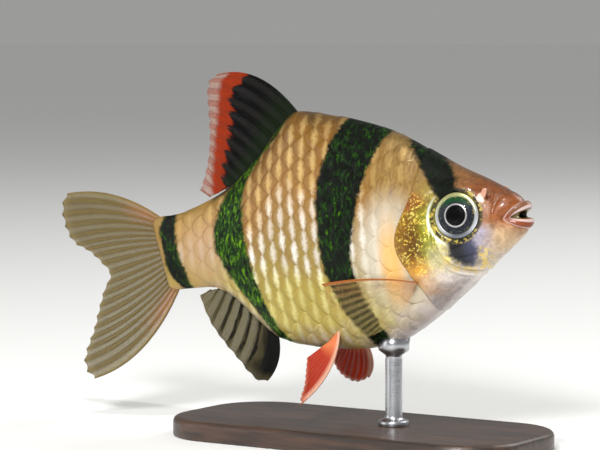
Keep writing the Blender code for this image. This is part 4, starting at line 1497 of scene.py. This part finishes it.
def ray_rods(fin, finish, thickness):
    """Rods of one fin's rays."""
    places, edges, thick, where = [], [], [], []
    for t, s, wide in ray_lines(fin):
        edges += [(len(where) + k, len(where) + k + 1) for k in range(len(t) - 1)]
        places.extend(on_fin(fin, t, s * 0.997))
        thick.extend(wide)
        where.extend(zip(t, s, np.ones(len(t))))
    mesh = bpy.data.meshes.new(fin + "_rays")
    mesh.from_pydata(to_world(np.array(places)).tolist(), edges, [])
    put_attribute(mesh, "thick", np.array(thick))
    put_attribute(mesh, "place", np.array(where), "FLOAT_VECTOR")
    values = {"Thickness": thickness * MM, "Sides": 6, "Finish": finish}
    return grown(linked(fin + "_rays", mesh), ray_tree, values)


print("twigs:", {fin: len(ray_lines(fin)) for fin in FINS})

# %% [markdown]
# ## Finishes of the fins
# Every fin reads the same three things: how far along a ray a place lies, how near the
# next ray is, and fine streaks along the rays. Colours differ from fin to fin, and clear
# parts let light through by their alpha.

# %% Group: streaks of a fin
streaks_group, streaks_in, streaks_out = new_group(
    "fin_streaks", [("Rays", FLOAT, 12.0)],
    [("Along", FLOAT), ("Across", FLOAT), ("Near Ray", FLOAT), ("Fibres", FLOAT), ("On Ray", FLOAT)])
part = parted(attribute(streaks_group, "place")["Vector"])
number = part["X"] * (streaks_in["Rays"] - 1.0)
away = maths("PINGPONG", number, 0.5)
near = 1.0 - ramp(away, 0.06, 0.42)
fibres = noise(joined(number * 7.0, part["Y"] * 3.0), 1.0, 3.0, 0.6)
feed(streaks_out, {"Along": part["Y"], "Across": part["X"], "Near Ray": near, "Fibres": fibres,
                   "On Ray": part["Z"]})


def fin_material(name, rays, roughness=0.36, relief_depth=0.00006, shine=0.22):
    """Start of a fin's finish: (material, its tree, its surface node, streaks)."""
    finish, tree, surface = new_material(name, Roughness=roughness, Specular_Ior_Level=shine,
                                         Coat_Weight=0.45 * shine, Coat_Roughness=0.12)
    streaks = use(tree, streaks_group, rays=float(rays))
    relief = streaks["Fibres"] * 0.5 + streaks["Near Ray"]
    bump = add(tree, "ShaderNodeBump", {"Height": relief, "Strength": 0.3, "Distance": relief_depth})
    feed(surface, {"Normal": bump[0]})
    return finish, tree, surface, streaks


print("streaks group:", len(streaks_group.nodes), "nodes")

# %% [markdown]
# The dorsal fin is black at its foot, with an orange-red band above and a clear edge. Two
# measured lines say where each colour starts. They waver a little from ray to ray, as the
# colours run further out along the rays than between them.

# %% Dorsal fin: black, then an orange-red band, then a clear edge
RED_STARTS = [(8.75, 8.75), (10.1, 9.2), (11.5, 9.7), (13.2, 10.2), (14.55, 10.6), (16.0, 10.7),
              (17.7, 11.2), (18.9, 13.0)]
CLEAR_STARTS = [(7.5, 6.9), (8.9, 7.2), (10.6, 7.6), (12.3, 7.95), (14.6, 8.55), (17.4, 9.2), (19.0, 9.8),
                (19.9, 11.2)]
dark_finish, tree, surface, streak = fin_material("dorsal_fin_finish", 12, 0.42, shine=0.06)
here = use(tree, place_group)
wavy = (streak["Fibres"] - 0.5) * 2.2 + here["Along"]
wavy = (streak["Near Ray"] - 0.5) * -0.5 + wavy
wavier = (streak["Fibres"] - 0.5) * 0.5 + here["Along"]
red = ramp(border(here["Up"], RED_STARTS, 5, 21) - wavy, -0.3, 0.4)
clear = ramp(border(here["Up"], CLEAR_STARTS, 5, 21) - wavier, -0.5, 0.5)
dusky = blend(streak["Near Ray"], paint(14, 12, 10), paint(2, 2, 2))
dusky = blend(ramp(streak["Fibres"], 0.5, 0.75) * 0.6, dusky, paint(34, 32, 38))
green_foot = (1.0 - ramp(streak["Along"], 0.05, 0.3)) * 0.7
dusky = blend(green_foot, dusky, paint(12, 24, 5))
ember = blend(streak["Fibres"], paint(100, 22, 4), paint(146, 48, 12))
colour = blend(red, dusky, ember)
colour = blend(clear, colour, blend(streak["Near Ray"], paint(156, 124, 110), paint(140, 78, 60)))
solid_part = blend_value(streak["Near Ray"], 0.86, 1.0)
see = blend_value(clear, blend_value(red, solid_part, 0.88), 0.45)
feed(surface, {"Base Color": colour, "Alpha": see})

# %% [markdown]
# The anal fin is all black in front. Behind, only its rays are black, and the film between
# them is a dusky brown that lets some light through.

# %% Anal fin: black at the front, dusky film with black rays behind
anal_finish, _, surface, streak = fin_material("anal_fin_finish", 9, 0.42, shine=0.08)
front = 1.0 - ramp((streak["Fibres"] - 0.5) * 0.25 + streak["Across"], 0.1, 0.36)
rays_black = (ramp((streak["Fibres"] - 0.5) * 1.5 + streak["Near Ray"], 0.5, 1.05)
              * (1.0 - ramp(streak["Across"], 0.55, 1.0)))
black = maths("MAXIMUM", front, rays_black)
black = black * blend_value(ramp(streak["Along"], 0.72, 1.0), 1.0, 0.55)
film_colour = blend(streak["Fibres"], paint(60, 52, 18), paint(100, 88, 40))
colour = blend(black, film_colour, paint(4, 4, 3))
feed(surface, {"Base Color": colour, "Alpha": blend_value(black, 0.68, 0.98)})

# %% [markdown]
# The tail fin is the clearest of the large fins: an olive film with fine rays, and a pinkish
# glow at the corners of its root. Its alpha is lower between the rays than on them.

# %% Tail fin: translucent olive, fine rays, pinkish at the root's corners
tail_finish, _, surface, streak = fin_material("tail_fin_finish", 20)
olive = blend(streak["Fibres"], paint(76, 62, 14), paint(104, 88, 28))
olive = blend(ramp(streak["Along"], 0.0, 0.5), blend(0.5, olive, paint(96, 72, 24)), olive)
outer = maths("PINGPONG", streak["Across"], 0.5)
corner = (1.0 - ramp(outer, 0.02, 0.2)) * (1.0 - ramp(streak["Along"], 0.1, 0.5))
colour = blend(corner * 0.75, olive, paint(160, 98, 56))
rim = maths("MAXIMUM", ramp(streak["Along"], 0.9, 1.0), 1.0 - ramp(outer, 0.0, 0.05))
colour = blend(rim * 0.5, colour, paint(150, 132, 84))
ray_tone = blend(streak["Near Ray"] * 0.45, colour, paint(92, 74, 34))
feed(surface, {"Base Color": ray_tone, "Alpha": blend_value(streak["Near Ray"], 0.58, 0.82)})

# %% [markdown]
# The pelvic fins are the brightest part of the fish, orange-red with a whitish first ray.

# %% Pelvic fins: orange-red with a pale leading edge
red_finish, _, surface, streak = fin_material("pelvic_fin_finish", 9)
ember = blend(streak["Fibres"], paint(140, 22, 2), paint(176, 50, 6))
ember = blend(ramp(streak["Along"], 0.0, 0.35), paint(206, 112, 66), ember)
leading = 1.0 - ramp(streak["Across"], 0.02, 0.16)
colour = blend(leading * 0.8, ember, paint(214, 166, 140))
trailing = ramp(streak["Along"], 0.86, 1.0)
colour = blend(trailing, colour, paint(196, 96, 52))
see = blend_value(trailing, blend_value(streak["Near Ray"], 0.82, 1.0), 0.6)
feed(surface, {"Base Color": colour, "Alpha": see})

# %% [markdown]
# The pectoral fins are almost clear. What shows is the red-brown first ray and a pinkish
# root, so the alpha is near zero elsewhere.

# %% Pectoral fins: clear film, red-brown leading edge, pinkish root
pale_finish, _, surface, streak = fin_material("pectoral_fin_finish", 12, 0.25, 0.00001)
film_colour = blend(streak["Fibres"], paint(150, 134, 72), paint(176, 152, 100))
root = 1.0 - ramp(streak["Along"], 0.02, 0.32)
colour = blend(root * 0.6, film_colour, paint(206, 158, 130))
leading = 1.0 - ramp(streak["Across"], 0.01, 0.055)
colour = blend(leading, colour, paint(84, 26, 8))
tint = 1.0 - ramp(streak["Across"], 0.05, 0.45)
colour = blend(tint * 0.35, colour, paint(196, 120, 52))
see = blend_value(streak["Near Ray"], 0.06, 0.16)
see = maths("MAXIMUM", see, root * 0.3)
feed(surface, {"Base Color": colour, "Alpha": maths("MAXIMUM", see, leading)})

# %% [markdown]
# Now each fin is made from its film and its rays. The film stands for the solid fin, and both
# pieces share its finish.

# %% Make every fin
FIN_FINISH = {"dorsal_fin": dark_finish, "anal_fin": anal_finish, "caudal_fin": tail_finish,
              "pelvic_fin_right": red_finish, "pelvic_fin_left": red_finish,
              "pectoral_fin_right": pale_finish, "pectoral_fin_left": pale_finish}
RAY_THICKNESS = {"dorsal_fin": 0.15, "anal_fin": 0.13, "caudal_fin": 0.12, "pelvic_fin_right": 0.13,
                 "pelvic_fin_left": 0.13, "pectoral_fin_right": 0.06, "pectoral_fin_left": 0.06}
for fin, finish in FIN_FINISH.items():
    pieces = [film(fin, finish), ray_rods(fin, finish, RAY_THICKNESS[fin])]
    for piece in pieces:
        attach(piece, "root")
    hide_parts(fin)
    print(fin, "faces:", [len(piece.data.polygons) for piece in pieces])

# %% [markdown]
# ## Eyes
# The eye is turned on a lathe: a pupil that stands out a little, a thin bright ring, a
# slate iris and a silver outer ring. It looks slightly ahead and up. A clear dome covers it,
# as the cornea does, so that lights glint on the dome and the rings lie deeper.

# %% Finishes of the eye
eye_finish, tree, surface = new_material("barb_eye", Roughness=0.28, Specular_Ior_Level=0.12)
part = parted(attribute(tree, "in_eye")["Vector"])
out, upward = part["X"], part["Y"]
grain = noise(use(tree, place_group)["Place"], 4.0, 4.0, 0.65)
iris = blend(grain, paint(10, 13, 18), paint(58, 64, 76))
arc = ramp(upward, 0.7, 1.7) * between(out, 1.5, 2.05, 0.12)
iris = blend(arc * 0.85, iris, paint(30, 84, 44))
speck = ramp(grain, 0.56, 0.7) * between(out, 1.8, 2.1, 0.1)
iris = blend(speck, iris, paint(206, 192, 90))
silver = blend(ramp(upward, -0.6, 2.0), paint(226, 228, 232), paint(214, 214, 150))
silver = blend(ramp(upward * -1.0, 1.2, 2.4), silver, paint(120, 126, 134))
colour = blend(ramp(out, 2.02, 2.12), iris, silver)
colour = blend(ramp(out, 2.44, 2.5), colour, paint(30, 28, 18))
bright = between(out, 1.13, 1.29, 0.05)
colour = blend(bright, colour, paint(238, 236, 232))
colour = blend(ramp(out, 1.08, 1.15), paint(3, 3, 5), colour)
shine = maths("MAXIMUM", between(out, 2.08, 2.46, 0.05), bright)
feed(surface, {"Base Color": colour, "Metallic": shine * 0.8})
cornea_finish = new_material("barb_cornea", Roughness=0.02, Alpha=0.16, Ior=1.4,
                             Base_Color=(0, 0, 0, 1))[0]

# %% [markdown]
# A lathe turns a profile round an axis. Each place of the profile is a distance from the
# eye's axis and a height along it. The mesh stores both for the finish, with the height of
# each point in the ring, which the finish uses to paint the silver ring darker towards the
# bottom.

# %% Lathe of the eye
EYE_PROFILE = [(0.0, 0.82), (0.5, 0.81), (0.9, 0.77), (1.08, 0.71), (1.14, 0.72), (1.21, 0.74),
               (1.29, 0.7), (1.36, 0.62), (1.65, 0.57), (1.9, 0.52), (2.04, 0.48), (2.12, 0.52),
               (2.28, 0.52), (2.42, 0.44), (2.5, 0.32), (2.55, 0.12), (2.52, -0.3), (2.2, -0.75),
               (1.5, -1.05), (0.8, -1.16), (0.0, -1.2)]
CORNEA_PROFILE = [(0.0, 1.2), (0.6, 1.17), (1.2, 1.07), (1.7, 0.91), (2.1, 0.72), (2.36, 0.52),
                  (2.46, 0.36), (2.4, 0.34), (2.26, 0.46), (2.04, 0.63), (1.64, 0.82), (1.14, 0.98),
                  (0.58, 1.08), (0.0, 1.11)]
EYE_POINTS = 72


def lathe(name, profile, centre, axis, finish):
    """Closed turned form about an axis, each point knowing its distance out and up."""
    up = np.array([0, 0, 1.0]) - axis * axis[2]
    up /= np.linalg.norm(up)
    across = np.cross(up, axis)
    turn = 2 * np.pi * np.arange(EYE_POINTS) / EYE_POINTS
    points, marks = [], []
    for out, deep in profile[1:-1]:
        ring = np.outer(np.cos(turn) * out, across) + np.outer(np.sin(turn) * out, up) + axis * deep
        points.append(centre + ring)
        marks.append(np.stack([0 * turn + out, out * np.sin(turn), 0 * turn + deep], -1))
    points.append(centre + axis * profile[0][1] + np.zeros((1, 3)))
    points.append(centre + axis * profile[-1][1] + np.zeros((1, 3)))
    marks.append(np.array([[0, 0, profile[0][1]], [0, 0, profile[-1][1]]]))
    faces = []
    count = len(profile) - 2
    first, last = count * EYE_POINTS, count * EYE_POINTS + 1
    for i in range(EYE_POINTS):
        j = (i + 1) % EYE_POINTS
        faces += [(i, j, first), ((count - 1) * EYE_POINTS + j, (count - 1) * EYE_POINTS + i, last)]
        for k in range(count - 1):
            a, b = k * EYE_POINTS, (k + 1) * EYE_POINTS
            faces.append((a + i, b + i, b + j, a + j))
    made = piece_from(name, to_world(np.concatenate(points)), faces, finish)
    put_attribute(made.data, "in_eye", np.concatenate(marks), "FLOAT_VECTOR")
    return made


for node, side in (("eye_right", -1), ("eye_left", 1)):
    centre, axis = eye_place(side)
    ball = lathe(node + "_ball", EYE_PROFILE, centre, axis, eye_finish)
    dome = lathe(node + "_cornea", CORNEA_PROFILE, centre, axis, cornea_finish)
    for piece in (ball, dome):
        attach(piece, "root")
    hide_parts(node)
    print(node, "at", centre.round(2))

# %% [markdown]
# ## Stand
# A museum model of a swimming fish is held by a rod. The base is a dark wooden slab with
# round corners and a softened edge. The rod is brushed steel, with a foot and a small cup
# that follows the belly.

# %% Finishes of the stand
wood_finish, tree, surface = new_material("stand_wood", Coat_Weight=0.25, Coat_Roughness=0.25)
object_place = add(tree, "ShaderNodeTexCoord")["Object"]
long_way = add(tree, "ShaderNodeMapping", {"Vector": object_place, "Scale": (90, 900, 900)})
rings_tone = noise(long_way[0], 1.0, 4.0, 0.6, 0.8)
fibre_way = add(tree, "ShaderNodeMapping", {"Vector": object_place, "Scale": (400, 6000, 6000)})
fibre = noise(fibre_way[0], 1.0, 2.0, 0.6)
colour = blend(ramp(rings_tone, 0.35, 0.65), paint(38, 25, 18), paint(74, 49, 34))
colour = blend(fibre * 0.5, colour, paint(26, 17, 12))
feed(surface, {"Base Color": colour, "Roughness": fibre * 0.25 + 0.35})
bump = add(tree, "ShaderNodeBump", {"Height": fibre, "Strength": 0.25, "Distance": 0.00004})
feed(surface, {"Normal": bump[0]})

steel_finish, tree, surface = new_material("stand_steel", Metallic=1.0)
object_place = add(tree, "ShaderNodeTexCoord")["Object"]
brushed = noise(add(tree, "ShaderNodeMapping", {"Vector": object_place, "Scale": (900, 900, 14000)})[0],
                1.0, 2.0, 0.6)
feed(surface, {"Base Color": blend(brushed, paint(150, 152, 156), paint(196, 197, 200)),
               "Roughness": brushed * 0.2 + 0.2})
bump = add(tree, "ShaderNodeBump", {"Height": brushed, "Strength": 0.15, "Distance": 0.00002})
feed(surface, {"Normal": bump[0]})
print("stand finishes:", wood_finish.name, steel_finish.name)

# %% [markdown]
# The slab is a stack of level rings with round corners. The rings come closer together at
# the upper edge, where they draw inwards to round it off.

# %% Base slab
BASE_LENGTH, BASE_WIDTH, BASE_HEIGHT, BASE_CORNER, BASE_ROUND = 44.0, 20.0, 2.2, 7.0, 0.6
BASE_POINTS, EDGE_STEPS, BASE_INNER = 96, 6, 6.9


def slab_ring(inset, z):
    """Level ring with round corners, drawn in by inset."""
    turn = 2 * np.pi * (np.arange(BASE_POINTS) + 0.5) / BASE_POINTS
    corner = np.stack([np.sign(np.cos(turn)) * (BASE_LENGTH / 2 - BASE_CORNER),
                       np.sign(np.sin(turn)) * (BASE_WIDTH / 2 - BASE_CORNER)], -1)
    reach = BASE_CORNER - inset
    return np.column_stack([corner + reach * np.stack([np.cos(turn), np.sin(turn)], -1),
                            np.full(BASE_POINTS, z)])


def stack_mesh(name, rings_of, finish):
    """Closed form from level rings of points in the object's millimetres, lowest first."""
    around = len(rings_of[0])
    points = np.concatenate(rings_of + [rings_of[0].mean(0)[None], rings_of[-1].mean(0)[None]])
    faces = []
    for i in range(around):
        j = (i + 1) % around
        for k in range(len(rings_of) - 1):
            a, b = k * around, (k + 1) * around
            faces.append((a + i, a + j, b + j, b + i))
        faces.append((len(points) - 2, j, i))
        faces.append((len(points) - 1, (len(rings_of) - 1) * around + i, (len(rings_of) - 1) * around + j))
    return piece_from(name, points * MM, faces, finish)


levels = [(BASE_INNER, 0.0), (0.5, 0.0), (0.3, 0.0), (0.1, 0.06), (0.0, 0.2), (0.0, 0.25)]
for k in range(EDGE_STEPS + 1):
    turn = math.pi / 2 * k / EDGE_STEPS
    levels.append((BASE_ROUND * (1 - math.cos(turn)), BASE_HEIGHT - BASE_ROUND * (1 - math.sin(turn))))
levels += [(BASE_ROUND + 0.25, BASE_HEIGHT), (BASE_INNER, BASE_HEIGHT)]
base = stack_mesh("stand_slab", [slab_ring(inset, z) for inset, z in levels], wood_finish)
print("slab:", len(levels), "rings,", BASE_HEIGHT, "mm high")

# %% [markdown]
# The rod is turned in the same way, with a wider foot below and a cup above. The cup's top
# rings follow the belly's own curve, pressed a little into the skin, so that the fish rests
# in it without a gap.

# %% Rod, foot and cup
ROD_AT, ROD_RADIUS, FOOT_RADIUS, CUP_RADIUS, CUP_HEIGHT = 29.0, 0.95, 1.7, 1.8, 1.1
ROD_POINTS, BELLY_PRESS = 64, 0.12


def belly_over(x, y):
    """Height of the belly over a place on the floor, in the object's millimetres."""
    along = np.full(np.shape(x), ROD_AT)
    for _ in range(20):
        height = smooth(BELLY, along)
        middle, half = smooth(WIDEST_HEIGHT, along), smooth(HALF_WIDTH, along)
        drop = (1 - np.minimum(np.abs(y) / half, 1) ** BELLY_ROUNDNESS) ** (1 / BELLY_ROUNDNESS)
        height = middle + (height - middle) * drop
        place = to_world(np.stack([along, y, height], -1)) / MM
        along = along + (x - place[..., 0])
    return place[..., 2]


foot_x = float(to_world([ROD_AT, 0, smooth(BELLY, ROD_AT)])[0] / MM)
turn = 2 * np.pi * np.arange(ROD_POINTS) / ROD_POINTS


def level_ring(radius, z):
    """Level circle round the rod's axis."""
    return np.column_stack([foot_x + radius * np.cos(turn), radius * np.sin(turn),
                            np.full(ROD_POINTS, float(z))])


neck = float(belly_over(np.array(foot_x), np.array(0.0))) - CUP_HEIGHT
# Radius and height above the slab, then radius and height above the neck
FOOT_RINGS = [(FOOT_RADIUS - 0.06, -0.02), (FOOT_RADIUS, 0.06), (FOOT_RADIUS, 0.5),
              (FOOT_RADIUS - 0.07, 0.58), (FOOT_RADIUS - 0.3, 0.66), (ROD_RADIUS + 0.12, 0.8),
              (ROD_RADIUS + 0.02, 1.02), (ROD_RADIUS, 1.2)]
NECK_RINGS = [(ROD_RADIUS, -0.6), (0.95 * ROD_RADIUS, -0.35), (ROD_RADIUS, -0.1),
              (0.72 * CUP_RADIUS, 0.14), (0.93 * CUP_RADIUS, 0.42)]
rod_rings = [level_ring(radius, BASE_HEIGHT + z) for radius, z in FOOT_RINGS]
rod_rings += [level_ring(radius, neck + z) for radius, z in NECK_RINGS]
for share in (0.995, 0.94, 0.66, 0.33):
    cup = level_ring(CUP_RADIUS * share, 0)
    cup[:, 2] = belly_over(cup[:, 0], cup[:, 1]) + BELLY_PRESS - (0.1 if share == 0.995 else 0)
    rod_rings.append(cup)
rod = stack_mesh("stand_rod_turned", rod_rings, steel_finish)
for piece, node, slot in ((base, "stand_base", "base_wood"), (rod, "stand_rod", "rod_steel")):
    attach(piece, "root")
    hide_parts(node)
print("rod from", BASE_HEIGHT, "to", round(neck + CUP_HEIGHT, 2))

# %% [markdown]
# ## Camera, floor and light
# The camera stands where the photograph was taken from, a third of the way round from the
# side to the front. A long lens keeps the fish's proportions. A pale floor and four soft
# lights show the wet skin: a key light in front, a fill, a rim light behind, and a small
# lamp above for the glints.

# %% Camera, floor and light
CAMERA_AIM = (TAIL_ROOT + np.array([17.98, 0, 3.85])) * MM
CAMERA_TURN, CAMERA_RISE, CAMERA_DISTANCE = math.radians(33), math.radians(4), 0.3
camera = linked("camera", bpy.data.cameras.new("camera"))
level = math.cos(CAMERA_RISE)
back = Vector((math.sin(CAMERA_TURN) * level, -math.cos(CAMERA_TURN) * level, math.sin(CAMERA_RISE)))
camera.location = Vector(CAMERA_AIM) + back * CAMERA_DISTANCE
camera.rotation_euler = back.to_track_quat("Z", "Y").to_euler()
camera.data.sensor_width, camera.data.lens, camera.data.clip_start = 36.0, 159.1, 0.01
bpy.context.scene.camera = camera

bpy.ops.mesh.primitive_plane_add(size=40)
floor = bpy.context.object
floor.name = "floor"
floor_finish, _, surface = new_material("pale_floor", Roughness=0.6)
feed(surface, {"Base Color": (0.82, 0.82, 0.8, 1)})
floor.data.materials.append(floor_finish)


def softbox(name, place, size, power):
    """Square soft light at a place, turned towards the fish."""
    light = bpy.data.lights.new(name, "AREA")
    light.size, light.energy = size, power
    made = linked(name, light)
    made.location = place
    made.rotation_euler = (Vector(place) - Vector((0, 0, 0.02))).to_track_quat("Z", "Y").to_euler()


softbox("key_light", (0.1, -0.36, 0.26), 0.09, 1.9)
softbox("fill_light", (-0.4, -0.3, 0.15), 0.3, 0.5)
softbox("rim_light", (0.2, 0.35, 0.35), 0.3, 1.4)
softbox("glint_light", (0.05, -0.17, 0.38), 0.02, 0.6)
world = bpy.data.worlds.new("studio")
world.use_nodes = True
sky = world.node_tree
direction = parted(add(sky, "ShaderNodeTexCoord")["Generated"])
glow = blend(ramp(direction["Z"], 0.0, 0.5), (0.33, 0.33, 0.325), (0.38, 0.38, 0.38))
feed(sky.nodes["Background"], {"Color": glow})
bpy.context.scene.world = world
bpy.context.scene.view_settings.view_transform = "Standard"
print("camera", CAMERA_DISTANCE, "m from the fish, lights:", len(bpy.data.lights))
